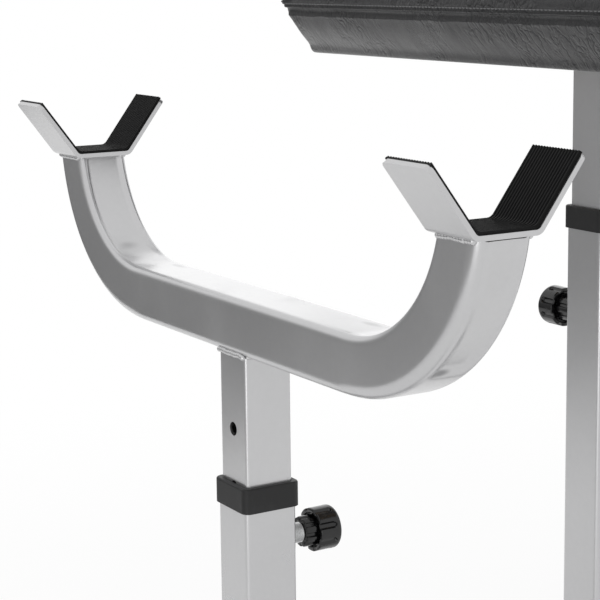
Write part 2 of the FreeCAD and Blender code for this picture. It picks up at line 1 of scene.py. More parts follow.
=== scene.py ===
# %% [markdown]
# # A preacher curl bench, dressed for its portrait
# A preacher curl bench holds a barbell in two cradles in front of a sloping arm pad. The CAD model
# already has every tube, pin, board and screw in its place, so this lesson only makes them look real.
# Everything is in metres, in the frame of the CAD model, and nothing of that frame is moved.

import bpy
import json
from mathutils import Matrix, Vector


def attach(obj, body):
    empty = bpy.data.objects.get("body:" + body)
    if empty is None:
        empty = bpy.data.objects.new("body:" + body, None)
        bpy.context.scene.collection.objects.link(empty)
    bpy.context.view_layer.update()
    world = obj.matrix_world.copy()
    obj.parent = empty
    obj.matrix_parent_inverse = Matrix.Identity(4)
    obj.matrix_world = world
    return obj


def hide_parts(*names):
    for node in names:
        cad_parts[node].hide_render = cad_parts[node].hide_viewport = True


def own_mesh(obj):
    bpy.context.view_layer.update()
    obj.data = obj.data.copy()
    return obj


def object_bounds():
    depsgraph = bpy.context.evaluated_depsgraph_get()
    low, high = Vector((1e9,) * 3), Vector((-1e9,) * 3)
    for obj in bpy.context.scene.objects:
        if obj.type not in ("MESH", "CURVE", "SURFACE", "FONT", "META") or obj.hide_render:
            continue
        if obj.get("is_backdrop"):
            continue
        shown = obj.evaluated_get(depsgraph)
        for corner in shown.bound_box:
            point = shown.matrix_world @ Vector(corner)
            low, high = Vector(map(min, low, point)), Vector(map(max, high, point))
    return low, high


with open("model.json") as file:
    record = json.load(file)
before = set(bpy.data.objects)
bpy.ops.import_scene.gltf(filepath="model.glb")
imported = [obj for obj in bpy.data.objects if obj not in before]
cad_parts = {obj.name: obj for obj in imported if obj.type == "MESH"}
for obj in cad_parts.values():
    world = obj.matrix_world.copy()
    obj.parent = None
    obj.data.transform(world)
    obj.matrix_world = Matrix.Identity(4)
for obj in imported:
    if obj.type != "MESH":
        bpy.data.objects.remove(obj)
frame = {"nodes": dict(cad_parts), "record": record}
cad_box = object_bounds()

# %% Tools of the lesson
import json
import math
import random

import bmesh
import bpy
import numpy as np
from mathutils import Matrix, Vector, kdtree, noise

mm = 0.001
full_turn = 2 * math.pi

# %% [markdown]
# ## Camera
# The picture was taken from the front right, a little above the cradles, with a long lens. A camera can
# be aimed by hand, but one that is worked out from the edges of the tubes lands every edge within a pixel
# or two. The turn, the dip and the roll below come from such a fit. A small lens shift keeps the uprights
# nearly parallel, as a photographer of products would.

# %% Camera
sensor_width = 36.0
lens_length = 104.99
lens_shift = -0.1
camera_place = Vector((1.2789, -1.1316, 0.8983))
turn = math.radians(58.778)
dip = math.radians(8.930)
roll = math.radians(-0.661)

level = Vector((math.cos(turn), math.sin(turn), 0))
backward = Vector((math.sin(turn) * math.cos(dip), -math.cos(turn) * math.cos(dip), math.sin(dip)))
upright = backward.cross(level)
picture_right = math.cos(roll) * level + math.sin(roll) * upright
picture_up = math.cos(roll) * upright - math.sin(roll) * level

camera = bpy.data.objects.new("camera", bpy.data.cameras.new("camera"))
bpy.context.scene.collection.objects.link(camera)
camera.data.sensor_width = sensor_width
camera.data.lens = lens_length
camera.data.shift_y = lens_shift
facing = Matrix((picture_right, picture_up, backward)).transposed().to_4x4()
camera.matrix_world = Matrix.Translation(camera_place) @ facing
bpy.context.scene.camera = camera
bpy.context.scene.view_settings.view_transform = "Standard"
print("camera at", [round(value, 3) for value in camera_place], "lens", lens_length)

# %% [markdown]
# ## Writing shaders as sums
# A shader is a graph of nodes, and wiring each node by hand hides the idea behind it. Here a `Value` wraps
# one socket, and plain arithmetic on it adds the Math nodes, so that `1 - mask` reads as it would on
# paper. A `Finish` holds the node tree and adds every other node with one call.

# %% Values and finishes
def plug(tree, socket, value):
    """Link a Value to a socket, or set a plain number, vector or colour on it."""
    if isinstance(value, Value):
        tree.links.new(value.socket, socket)
    elif socket.type == "RGBA" and len(value) == 3:
        socket.default_value = (*value, 1.0)
    else:
        socket.default_value = value


class Value:
    """One output socket; arithmetic on it adds Math nodes."""

    def __init__(self, tree, socket):
        self.tree = tree
        self.socket = socket

    def maths(self, operation, first, second):
        node = self.tree.nodes.new("ShaderNodeMath")
        node.operation = operation
        plug(self.tree, node.inputs[0], first)
        plug(self.tree, node.inputs[1], second)
        return Value(self.tree, node.outputs[0])

    def __add__(self, other):
        return self.maths("ADD", self, other)

    def __sub__(self, other):
        return self.maths("SUBTRACT", self, other)

    def __rsub__(self, other):
        return self.maths("SUBTRACT", other, self)

    def __mul__(self, other):
        return self.maths("MULTIPLY", self, other)

    __radd__ = __add__
    __rmul__ = __mul__


class Finish:
    """The nodes of one material, or of the world, added one call at a time."""

    def __init__(self, owner):
        self.owner = owner
        owner.use_nodes = True
        self.tree = owner.node_tree
        self.tree.nodes.clear()

    def node(self, kind, settings=None, inputs=None, output=0):
        made = self.tree.nodes.new("ShaderNode" + kind)
        for name, value in (settings or {}).items():
            setattr(made, name, value)
        for name, value in (inputs or {}).items():
            plug(self.tree, made.inputs[name], value)
        if made.outputs:
            return Value(self.tree, made.outputs[output])

    def vector(self, operation, *values, output=0):
        return self.node("VectorMath", {"operation": operation}, dict(enumerate(values)), output)

    def place(self):
        return self.node("TexCoord", output="Object")

    def stretched(self, factors):
        return self.vector("MULTIPLY", self.place(), factors)

    def clouds(self, size, detail=2.0, place=None):
        """Noise from 0 to 1 whose patches are about one size across, in metres."""
        inputs = {"Vector": place or self.place(), "Scale": 1 / size, "Detail": detail}
        return self.node("TexNoise", {}, inputs)

    def between(self, value, low, high):
        """0 below one value, 1 above another, with a soft step between."""
        inputs = {"Value": value, "From Min": low, "From Max": high}
        return self.node("MapRange", {"interpolation_type": "SMOOTHSTEP"}, inputs)

    def mix(self, factor, first, second):
        return self.node("Mix", {"data_type": "RGBA"}, {0: factor, 6: first, 7: second}, 2)

    def bump(self, height, depth):
        return self.node("Bump", {}, {"Height": height, "Distance": depth})

    def surface(self, inputs):
        shader = self.node("BsdfPrincipled", {}, inputs)
        self.node("OutputMaterial", {}, {"Surface": shader})
        print(self.owner.name, "has", len(self.tree.nodes), "nodes")
        return self.owner


def new_finish(name):
    return Finish(bpy.data.materials.new(name))


# %% [markdown]
# ## Silver paint
# The tubes are powder coated: a grey enamel full of aluminium flakes, baked so that it flows into a
# faint orange peel. It could be a plain metal, but bare metal has no flow marks and no clear skin. So
# the finish is a nearly metallic base with a soft gloss, a thin clear coat, a fine ripple in the normal,
# and a slow drift in tone where the spray was thicker. The bent tube also gets painted shade: dark spots
# in its colour where the dished bends show dark reflections. Each spot is soft, drawn at the same place on
# both arms.

# %% Silver paint
paint_dark = (0.47, 0.47, 0.478)
paint_bright = (0.6, 0.6, 0.605)
# the dark grey that the spots of painted shade pull the paint's colour towards
painted_shade_tone = (0.12, 0.12, 0.125)
smear_stretch = (1, 1, 0.35)


def silver_paint(name, painted_shade_spots=()):
    """Paint with spots of painted shade, each given by its centre, its radii and its strength."""
    paint = new_finish(name)
    drift = paint.clouds(0.16, 3.0)
    smears = paint.between(paint.clouds(0.05, 2.0, paint.stretched(smear_stretch)), 0.45, 0.85)
    peel = paint.clouds(0.007, 0.0)
    grain = paint.clouds(0.005, 2.0)
    tone = paint.mix(drift * 0.8 + grain * 0.2, paint_dark, paint_bright)
    mirrored = paint.vector("ABSOLUTE", paint.place())
    # painted shade: each spot darkens the paint's colour where a dished bend shows a dark reflection
    for centre, radii, strength in painted_shade_spots:
        away = paint.vector("SUBTRACT", mirrored, centre)
        reach = paint.vector("LENGTH", paint.vector("DIVIDE", away, radii), output="Value")
        shade = (1 - paint.between(reach + smears * 0.3, 0.25, 1.0)) * strength
        tone = paint.mix(shade, tone, painted_shade_tone)
    return paint.surface({
        "Base Color": tone,
        "Metallic": 0.9,
        "Roughness": 0.25 + drift * 0.06 + smears * 0.06,
        "Coat Weight": 0.3,
        "Coat Roughness": 0.12,
        "Normal": paint.bump(peel, 0.00004),
    })


# centre, radii and strength of each spot of painted shade, in metres, for one arm; the other arm has its
# mirror image
painted_bend_shade = (
    ((0.2812, 0.4115, 0.6075), (0.006, 0.012, 0.006), 0.75),
    ((0.164, 0.391, 0.621), (0.017, 0.006, 0.004), 0.36),
    ((0.236, 0.407, 0.634), (0.012, 0.017, 0.008), 0.35),
)
finishes = {"silver_paint": silver_paint("silver_paint")}
bent_tube_paint_and_painted_shade = silver_paint("bent_tube_paint_and_painted_shade", painted_bend_shade)

# %% [markdown]
# ## Black plastics and rubbers
# The collars and end caps are moulded in a tool with an etched face, so they are satin and slightly
# pebbled. The knobs come from a polished tool, and handling leaves faint smears on their gloss. The
# liners are soft ribbed rubber, which keeps a little grey dust, and the floor pads are harder and paler.

# %% Black plastics and rubbers
def satin_plastic(name):
    plastic = new_finish(name)
    etched = plastic.clouds(0.0009, 2.0)
    scuffs = plastic.between(plastic.clouds(0.02, 4.0), 0.5, 0.75)
    tone = plastic.mix(scuffs * 0.6 + etched * 0.3, (0.009, 0.009, 0.0095), (0.018, 0.018, 0.019))
    return plastic.surface({
        "Base Color": tone,
        "Roughness": 0.42 + etched * 0.12 - scuffs * 0.06,
        "Specular IOR Level": 0.36,
        "Normal": plastic.bump(etched, 0.00004),
    })


def glossy_plastic(name):
    plastic = new_finish(name)
    flow = plastic.clouds(0.006, 2.0)
    smears = plastic.between(plastic.clouds(0.009, 4.0), 0.48, 0.7)
    tone = plastic.mix(smears, (0.004, 0.004, 0.0044), (0.008, 0.008, 0.0085))
    return plastic.surface({
        "Base Color": tone,
        "Roughness": 0.14 + smears * 0.12,
        "Normal": plastic.bump(flow, 0.00003),
    })


def rubber(name, dark, dusty, roughness):
    soft = new_finish(name)
    crumbs = soft.clouds(0.0007, 3.0)
    dust = soft.between(soft.clouds(0.012, 5.0), 0.5, 0.8)
    return soft.surface({
        "Base Color": soft.mix(dust * 0.7 + crumbs * 0.3, (dark,) * 3, (dusty,) * 3),
        "Roughness": roughness + crumbs * 0.12,
        "Specular IOR Level": 0.14,
        "Normal": soft.bump(crumbs, 0.00003),
    })


finishes["black_plastic"] = satin_plastic("satin_plastic")
finishes["ribbed_rubber"] = rubber("ribbed_rubber", 0.002, 0.005, 0.5)
finishes["floor_rubber"] = rubber("floor_rubber", 0.018, 0.05, 0.75)
knob_gloss = glossy_plastic("glossy_plastic")

# %% [markdown]
# ## Leatherette
# The cushions are covered in black leatherette: cloth with a vinyl face that is embossed with small
# pebbles. It shines at a low angle, and where it is pulled round an edge it creases across that edge.
# Cells of a Voronoi pattern give the pebbles. The creases are noise that is drawn out along the
# cushion's height, so that they run across its walls whichever way a wall faces. The lower part of a wall
# is rubbed by arms and knees, so it wears a thin polish, which is a coat that fades upwards and sideways.

# %% Leatherette
pad_tilt = math.radians(41.0)
pad_rise = Vector((0, -math.sin(pad_tilt), math.cos(pad_tilt)))
seat_rise = Vector((0, 0, 1))
hide_dark = (0.011, 0.011, 0.012)
hide_bright = (0.024, 0.024, 0.026)
cell_edges = {"feature": "DISTANCE_TO_EDGE"}


def leatherette(name, rise, board, wall_top, ends):
    """Cover on a board at a height along rise; its polish ends at the wall's top and between two X."""
    hide = new_finish(name)
    spot = hide.place()
    up = tuple(rise)
    wander = hide.node("TexNoise", {}, {"Vector": spot, "Scale": 260.0, "Detail": 1.0}, 1)
    shaken = hide.vector("MULTIPLY_ADD", wander, (0.0012,) * 3, spot)
    cells = hide.node("TexVoronoi", cell_edges, {"Vector": shaken, "Scale": 720.0})
    pebbles = hide.between(cells, 0.0, 0.22)
    height = hide.vector("DOT_PRODUCT", spot, up, output="Value")
    along = hide.node("VectorMath", {"operation": "SCALE"}, {0: up, "Scale": height * -0.76})
    drawn_out = hide.vector("ADD", spot, along)
    sway = hide.node("TexNoise", {}, {"Vector": spot, "Scale": 70.0, "Detail": 2.0}, 1)
    bent = hide.vector("MULTIPLY_ADD", sway, (0.014,) * 3, drawn_out)
    long_cells = hide.node("TexVoronoi", cell_edges, {"Vector": bent, "Scale": 120.0})
    veins = hide.between(long_cells, 0.0, 0.2)
    patches = hide.between(hide.clouds(0.05, 3.0), 0.38, 0.62)
    folds = hide.clouds(0.011, 2.0, drawn_out)
    worn = hide.between(hide.clouds(0.07, 4.0), 0.45, 0.75)
    across = hide.node("SeparateXYZ", {}, {0: spot}, "X")
    low_wall = hide.between(height - board, wall_top, wall_top * 0.3)
    return hide.surface({
        "Base Color": hide.mix(pebbles * 0.6 + worn * 0.4, hide_dark, hide_bright),
        "Roughness": 0.36 - pebbles * 0.06 - worn * 0.05,
        "Coat Weight": low_wall * hide.between(across, *ends) * 0.6,
        "Coat Roughness": 0.3,
        "Normal": hide.bump(pebbles * 0.1 + veins * patches * 0.7 + folds * 0.4, 0.001),
    })


finishes["leatherette"] = leatherette("leatherette", seat_rise, 0.462, 0.036, (0.3, -0.3))
pad_leatherette = leatherette("pad_leatherette", pad_rise, 0.7077, 0.056, (0.08, -0.32))

# %% [markdown]
# ## Wood, steel and thread
# The boards inside the cushions are raw plywood, seen only from below. Screws, nuts, washers and sleeves
# are zinc plated, which is bright with a cloudy bloom. Springs are drawn wire, darker and smoother.
# The thread is twisted polyester, so a fine slanting wave roughens it. Its grey is much lighter than the
# black thread itself, a painted glint that makes the seam show as a bright line.

# %% Wood, steel and thread
def plywood(name):
    wood = new_finish(name)
    figure = wood.clouds(0.012, 4.0, wood.stretched((0.07, 1, 1)))
    pores = wood.clouds(0.0012, 2.0, wood.stretched((0.05, 1, 1)))
    tone = wood.mix(figure * 0.75 + pores * 0.25, (0.42, 0.27, 0.14), (0.66, 0.49, 0.31))
    return wood.surface({
        "Base Color": tone,
        "Roughness": 0.6 + pores * 0.2,
        "Normal": wood.bump(pores + figure * 0.5, 0.0001),
    })


def plated_steel(name, dark, bright, roughness, bloom_size):
    steel = new_finish(name)
    bloom = steel.clouds(bloom_size, 4.0)
    scratches = steel.clouds(0.0006, 2.0)
    return steel.surface({
        "Base Color": steel.mix(bloom, dark, bright),
        "Metallic": 1.0,
        "Roughness": roughness + bloom * 0.12 + scratches * 0.06,
        "Normal": steel.bump(scratches, 0.00001),
    })


def thread(name):
    yarn = new_finish(name)
    twist = yarn.node("TexWave", {}, {"Vector": yarn.place(), "Scale": 900.0, "Distortion": 1.0}, 1)
    return yarn.surface({
        # painted glint: these greys are lighter than the black thread, so the seam reads as a bright line
        "Base Color": yarn.mix(twist, (0.14, 0.14, 0.144), (0.26, 0.26, 0.266)),
        "Roughness": 0.32 + twist * 0.12,
        "Normal": yarn.bump(twist, 0.0001),
    })


finishes["plywood"] = plywood("plywood")
finishes["spring_steel"] = plated_steel("spring_steel", (0.34, 0.34, 0.35), (0.5, 0.5, 0.52), 0.25, 0.004)
finishes["zinc_steel"] = plated_steel("zinc_steel", (0.6, 0.61, 0.62), (0.76, 0.76, 0.75), 0.2, 0.008)
painted_glint_thread = thread("thread")

# %% [markdown]
# ## A finish for every solid
# The record of the CAD model says what each node is made of. A loop over it dresses all the nodes, those
# too that later pieces replace, so that nothing is left in a plain colour.

# %% A finish for every solid
for subpart in frame["record"]["subparts"]:
    mesh = frame["nodes"][subpart["node"]].data
    mesh.materials.clear()
    mesh.materials.append(finishes[subpart["material_slot"]])
print("finishes:", sorted(finishes))

# %% [markdown]
# ## Making a piece
# Most pieces here are rings of points joined into bands of four-sided faces, which is how a turner, a
# tube bender or an upholsterer would describe them too. A few helpers join the rings, and one turns the
# points into an object that rides on a body of the frame.

# %% Rings and skins
def band(first, second, size):
    """Faces between two closed rings, given the number of each ring's first point."""
    faces = []
    for i in range(size):
        after = (i + 1) % size
        faces.append((first + i, first + after, second + after, second + i))
    return faces


def fan(centre, first, size):
    """Faces between one point and a closed ring."""
    return [(centre, first + i, first + (i + 1) % size) for i in range(size)]


def closed_skin(rings, low_centre, high_centre):
    """Points and faces of rings in a row, closed by a fan at each end."""
    size = len(rings[0])
    points = [point for ring in rings for point in ring] + [low_centre, high_centre]
    faces = fan(len(points) - 2, 0, size) + fan(len(points) - 1, (len(rings) - 1) * size, size)
    for i in range(len(rings) - 1):
        faces += band(i * size, (i + 1) * size, size)
    return points, faces


def joined(skins):
    """Points and faces of several skins in one."""
    points = []
    faces = []
    for more_points, more_faces in skins:
        faces += [tuple(len(points) + corner for corner in face) for face in more_faces]
        points += more_points
    return points, faces


def round_ring(middle, aside, above, radius, sides):
    """Points of a circle that two directions span."""
    ring = []
    for k in range(sides):
        angle = full_turn * k / sides
        ring.append(middle + (aside * math.cos(angle) + above * math.sin(angle)) * radius)
    return ring


def soft_step(value, low, high):
    share = min(max((value - low) / (high - low), 0.0), 1.0)
    return share * share * (3 - 2 * share)


def bell(value, width):
    return math.exp(-(value / width) ** 2)


# %% Pieces
def outward_mesh(name, points, faces):
    """Mesh whose faces all look outwards."""
    mesh = bpy.data.meshes.new(name)
    mesh.from_pydata([tuple(point) for point in points], [], faces)
    shell = bmesh.new()
    shell.from_mesh(mesh)
    bmesh.ops.recalc_face_normals(shell, faces=shell.faces)
    shell.to_mesh(mesh)
    shell.free()
    return mesh


def linked(name, mesh):
    """Object of a mesh, in the scene."""
    holder = bpy.data.objects.new(name, mesh)
    bpy.context.scene.collection.objects.link(holder)
    return holder


def add_piece(name, skin, body, finish, crisp=35.0):
    """Piece of a skin's points and faces; edges that turn by more than crisp degrees stay sharp."""
    mesh = outward_mesh(name, *skin)
    mesh.polygons.foreach_set("use_smooth", [True] * len(mesh.polygons))
    mesh.set_sharp_from_angle(angle=math.radians(crisp))
    mesh.materials.append(finish)
    piece = linked(name, mesh)
    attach(piece, body)
    print(name, "has", len(mesh.vertices), "points")
    return piece


# %% [markdown]
# ## The bent tube of the bar rest
# The bar rest is one square tube bent into a U and cut level at the tops of its arms. Bending a square
# tube dishes its inner and outer walls, draws in its edges, and leaves small marks of the press. A bevelled
# curve would keep the section perfect all the way round, so the skin is lofted ring by ring, and
# each ring is pressed in by an amount that grows into the bend. The saw leaves the outer wall a little
# short, so a dark gap shows there under the cradle's plate.

# %% Section of the bent tube
bar_post_y = -403.0
rest_low = 572.0
rest_half_width = 25.0
rest_depth = 49.0
rest_corner = 6.4
wall_steps = 18
corner_steps = 7


def tube_section():
    """(depth, y) round the tube: depth runs from the outer wall of the bend to the inner one."""
    half = rest_depth / 2
    flats = (half - rest_corner, rest_half_width - rest_corner)
    corners = []
    for side_depth, side_y, start in ((-1, 1, 180), (1, 1, 90), (1, -1, 0), (-1, -1, -90)):
        for step in range(corner_steps):
            angle = math.radians(start - 90 * step / (corner_steps - 1))
            depth = half + side_depth * flats[0] + rest_corner * math.cos(angle)
            corners.append((depth, side_y * flats[1] + rest_corner * math.sin(angle)))
    filled = []
    for i, (depth, y) in enumerate(corners):
        filled.append((depth, y))
        next_depth, next_y = corners[(i + 1) % len(corners)]
        if math.hypot(next_depth - depth, next_y - y) > rest_corner:
            for step in range(1, wall_steps):
                share = step / wall_steps
                filled.append((depth + (next_depth - depth) * share, y + (next_y - y) * share))
    return filled


section = tube_section()
print("tube section has", len(section), "points")

# %% What bending does to the section
rest_radius = 170.0
rest_straight = 180.0
bend_degrees = 78.0
bend_radians = 1.35
ramp_ends = (-16, 20)
dish_depth = 3.0
outer_flank = (9.0, 20.5)
inner_flank = (17.0, 21.5)
outer_dish_start = (33.0, 39.0)
outer_dish_fade = (41.0, 66.0)
outer_dish_left = 0.3
inner_dish_start = (9.0, 27.0)
edge_band = 9.0
edge_draw = math.tan(math.radians(12.0))
press_depth = 0.12
press_run = (173.5, 1.4)
press_height = (16, 12)


def pressed(run, bend, depth, y):
    """A point of the section after bending."""
    arc = run - rest_straight + bend * bend_radians * rest_radius
    ramp = soft_step(arc, *ramp_ends)
    drawn_in = max(edge_band - depth, 0) * edge_draw * ramp / rest_half_width
    at_press = bell(run - press_run[0], press_run[1]) * bell(depth - press_height[0], press_height[1])
    new_y = y * (1 - drawn_in - press_depth * at_press / rest_half_width)
    if min(depth, rest_depth - depth) > rest_corner:
        return depth, new_y
    degrees = bend * bend_degrees
    if depth < rest_depth / 2:
        faded = 1 - (1 - outer_dish_left) * soft_step(degrees, *outer_dish_fade)
        sunk = soft_step(degrees, *outer_dish_start) * faded
        return depth + dish_depth * sunk * (1 - soft_step(abs(y), *outer_flank)), new_y
    sunk = soft_step(degrees, *inner_dish_start)
    return depth - dish_depth * sunk * (1 - soft_step(abs(y), *inner_flank)), new_y


print("the bend starts", rest_straight, "mm from the middle and turns by", bend_degrees, "degrees")

# %% The bent tube of the bar rest
rest_wall = 2.0
arm_cut = 28.7
arm_top = rest_low + rest_radius - arm_cut
rim_gap = 1.3
rim_gap_span = (17.0, 22.0)
straight_runs = (0.0, 50.0, 100.0, 140.0, 155.0)
fine_run = 160.0
bend_stations = 96


def tube_ring(side, run, bend, inner):
    """One ring of the U, in metres, on its outer skin or on its inner wall."""
    ring = []
    for depth, y in section:
        at_outer_rim = bend == 1.0 and depth < rest_corner
        gap = rim_gap * (1 - soft_step(abs(y), *rim_gap_span)) if at_outer_rim else 0.0
        depth, y = pressed(run, bend, depth, y)
        if inner:
            depth = rest_wall + depth * (1 - 2 * rest_wall / rest_depth)
            y *= 1 - rest_wall / rest_half_width
        radius = rest_radius - depth
        angle = bend * math.acos(arm_cut / radius)
        x = side * (run + radius * math.sin(angle))
        z = rest_low + rest_radius - radius * math.cos(angle) - gap
        ring.append((x * mm, (y + bar_post_y) * mm, z * mm))
    return ring


def tube_skin():
    stations = [(1, run, 0.0) for run in straight_runs]
    stations += [(1, run, 0.0) for run in np.arange(fine_run, rest_straight, 1.0)]
    stations += [(1, rest_straight, bend) for bend in np.linspace(0.0, 1.0, bend_stations)]
    stations = [(-side, run, bend) for side, run, bend in stations[:0:-1]] + stations
    points = []
    for inner in (False, True):
        for side, run, bend in stations:
            points += tube_ring(side, run, bend, inner)
    size = len(section)
    inner_first = len(stations) * size
    faces = band(0, inner_first, size) + band(inner_first - size, len(points) - size, size)
    for first in (0, inner_first):
        for i in range(len(stations) - 1):
            faces += band(first + i * size, first + (i + 1) * size, size)
    return points, faces


rest_skin = add_piece("bar_rest_skin", tube_skin(), "bar_rest", bent_tube_paint_and_painted_shade)
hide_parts("bar_rest_tube")

# %% [markdown]
# ## Ribbed liners
# A black rubber liner lies in each cradle so that the bar doesn't knock on steel. It is an extruded
# strip with fine ribs along it, and it rounds off where the plate bends. The ribs could be a bump, but
# they show as teeth at the tips, so every rib is real: the strip is followed from tip to tip, and at each
# step a row of points rises and falls across it.

# %% Line of a cradle
cradle_angle = math.radians(53.0)
cradle_half_flat = 28.5
cradle_thickness = 4.0
cradle_bend = 5.0
cradle_wing = 65.4


def vee_spot(along, offset, bend_radius):
    """(y, z) on a line above a V plate: along is 1 where the bend starts, 2 where it ends, 3 at the tip."""
    half_angle = cradle_angle / 2
    corner_y = cradle_half_flat - offset * math.tan(half_angle)
    flat = corner_y - bend_radius * math.tan(half_angle)
    side = math.copysign(1, along)
    share = abs(along)
    if share <= 1:
        return side * flat * share, offset
    if share <= 2:
        angle = cradle_angle * (share - 1)
        return side * (flat + bend_radius * math.sin(angle)), offset + bend_radius * (1 - math.cos(angle))
    start_y = flat + bend_radius * math.sin(cradle_angle)
    start_z = offset + bend_radius * (1 - math.cos(cradle_angle))
    tip_y = cradle_half_flat + cradle_wing * math.cos(cradle_angle) - offset * math.sin(cradle_angle)
    tip_z = cradle_wing * math.sin(cradle_angle) + offset * math.cos(cradle_angle)
    return side * (start_y + (tip_y - start_y) * (share - 2)), start_z + (tip_z - start_z) * (share - 2)


print("a cradle's tip is", [round(value, 1) for value in vee_spot(3.0, 0.0, cradle_bend)], "mm from its foot")

# %% Ribbed liners
arm_middle = 322.6
liner_half_width = 26.5
liner_base = 1.4
liner_bend = 8.5
liner_steps = (8, 10, 16)
rib_count = 17
rib_height = 1.1
rib_flank = (0.2, 0.36)
rib_samples = 10


def rib(share):
    """Height of the rubber above its base at a place across the strip."""
    return rib_height * (1 - soft_step(abs(share * rib_count % 1.0 - 0.5), *rib_flank))


def liner_skin(middle_x):
    columns = rib_count * rib_samples + 1
    half_way = [0.0]
    for start, steps in enumerate(liner_steps):
        half_way += list(np.linspace(start, start + 1.0, steps))[1:]
    stations = [-along for along in half_way[:0:-1]] + half_way
    points = []
    for along in stations:
        for under in (False, True):
            for i in range(columns):
                share = i / (columns - 1)
                height = 0.0 if under else liner_base + rib(share)
                radius = cradle_bend if under else liner_bend - rib(share)
                y, z = vee_spot(along, cradle_thickness + height, radius)
                x = middle_x + (2 * share - 1) * liner_half_width
                points.append((x * mm, (bar_post_y + y) * mm, (arm_top + z) * mm))
    faces = []
    row = 2 * columns
    for k in range(len(stations) - 1):
        for i in range(columns - 1):
            for first in (k * row + i, k * row + columns + i):
                faces.append((first, first + 1, first + row + 1, first + row))
        for top in (k * row, k * row + columns - 1):
            faces.append((top, top + columns, top + columns + row, top + row))
    for first in (0, (len(stations) - 1) * row):
        for i in range(columns - 1):
            faces.append((first + i, first + i + 1, first + columns + i + 1, first + columns + i))
    return points, faces


for name, side in (("left", -1), ("right", 1)):
    strip = add_piece(name + "_ribbed_liner", liner_skin(side * arm_middle), "bar_rest",
                      finishes["ribbed_rubber"])
    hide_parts(name + "_liner")

# %% [markdown]
# ## Weld beads
# The tubes and plates are welded, and paint goes over the beads. A real bead is a row of overlapping
# drops, a little uneven in width and course. A smooth tube would look like a wire, so each bead is a
# string of rings whose radius swells once for every drop and wanders with a seeded noise.

# %% Weld beads
drop_pitch = 3.4
drop_valley = 0.74
bead_step = 0.6
bead_sides = 12
least_rings = 8
bead_crisp = 80.0


def bead(start, end, radius, seed):
    """Points and faces of one bead between two points, in millimetres."""
    run = Vector(end) - Vector(start)
    ahead = run.normalized()
    aside = ahead.orthogonal().normalized()
    above = ahead.cross(aside)
    count = max(int(run.length / bead_step), least_rings)
    rings = []
    for i in range(count + 1):
        along = run.length * i / count
        to_end = min(along, run.length - along)
        taper = math.sqrt(max(1 - (1 - min((to_end + 0.2) / radius, 1.0)) ** 2, 0.02))
        drop = drop_valley + (1 - drop_valley) * abs(math.cos(math.pi * along / drop_pitch + seed))
        wander = noise.noise(Vector((along * 0.12, seed * 7.3, 0)))
        width = radius * taper * drop * (1 + 0.16 * noise.noise(Vector((along * 0.3, 0, seed * 3.1))))
        middle = Vector(start) + ahead * along + (aside + above) * (wander * 0.25 * radius)
        rings.append([point * mm for point in round_ring(middle, aside, above, width, bead_sides)])
    return closed_skin(rings, Vector(start) * mm, Vector(end) * mm)


def add_welds(name, body, lines):
    beads = [bead(start, end, radius, seed + 1) for seed, (start, end, radius) in enumerate(lines)]
    return add_piece(name, joined(beads), body, finishes["silver_paint"], bead_crisp)


# %% Welds of the bar rest
inner_half = 22.5
outer_half = 25.0
post_bead = 2.7
side_bead = 2.2
side_bead_length = 9
plate_bead = 2.9
plate_bead_ends = (300.0, 345.0)
rest_lines = []
for side in (-1, 1):
    joint_y = bar_post_y + side * (inner_half + 0.7)
    rest_lines.append(((-inner_half, joint_y, rest_low), (inner_half, joint_y, rest_low), post_bead))
    corner_y = bar_post_y + side * (inner_half - 0.5)
    start = (inner_half + 0.6, corner_y, rest_low)
    rest_lines.append((start, (start[0], corner_y - side * side_bead_length, rest_low), side_bead))
    for arm in (-1, 1):
        plate_y = bar_post_y + side * (rest_half_width - 0.6)
        ends = [(arm * x, plate_y, arm_top - 0.4) for x in plate_bead_ends]
        rest_lines.append((*ends, plate_bead))
add_welds("bar_rest_welds", "bar_rest", rest_lines)

# %% Welds of the base
rail_top = 60.0
rail_low = 10.0
rail_ends = (-433.0, 367.0)
pad_post_y = -13.0
seat_post_y = 337.0
gusset_size = 60.0
gusset_half = 2.5
flat_half = 21
base_lines = []
for post_y in (bar_post_y, pad_post_y, seat_post_y):
    for side in (-1, 1):
        face_y = post_y + side * (outer_half + 0.5)
        ends = [(end * (outer_half - 4), face_y, rail_top + 0.4) for end in (-1, 1)]
        base_lines.append((*ends, 3.0))
        face_x = side * (outer_half - 0.4)
        ends = [(face_x, post_y + end * flat_half, rail_top) for end in (-1, 1)]
        base_lines.append((*ends, 1.9))
for post_y, side in ((bar_post_y, 1), (pad_post_y, -1), (pad_post_y, 1), (seat_post_y, -1)):
    root = post_y + side * outer_half
    for face in (-1, 1):
        face_x = face * (gusset_half + 0.3)
        ends = [(face_x, root + side * reach, rail_top + 0.3) for reach in (5, gusset_size - 3)]
        base_lines.append((*ends, 2.2))
        ends = [(face_x, root + side * 0.3, rail_top + reach) for reach in (5, gusset_size - 3)]
        base_lines.append((*ends, 2.2))
for end_y, inward in zip(rail_ends, (1, -1)):
    bead_y = end_y + inward * 0.5
    base_lines.append(((-flat_half, bead_y, rail_top), (flat_half, bead_y, rail_top), 2.3))
    for side in (-1, 1):
        face_x = side * (outer_half + 0.3)
        base_lines.append(((face_x, bead_y, rail_low + 4), (face_x, bead_y, rail_top - 4), 2.6))
add_welds("base_welds", "base_frame", base_lines)

# %% [markdown]
# ## Places on the cushions
# The arm pad and the seat are drawn flat, with the underside of the board at height zero, and then set in
# place by one matrix each. That keeps the code for both the same, although one of them slopes. The first
# use of these matrices is for the beads along the cheeks of the brackets.

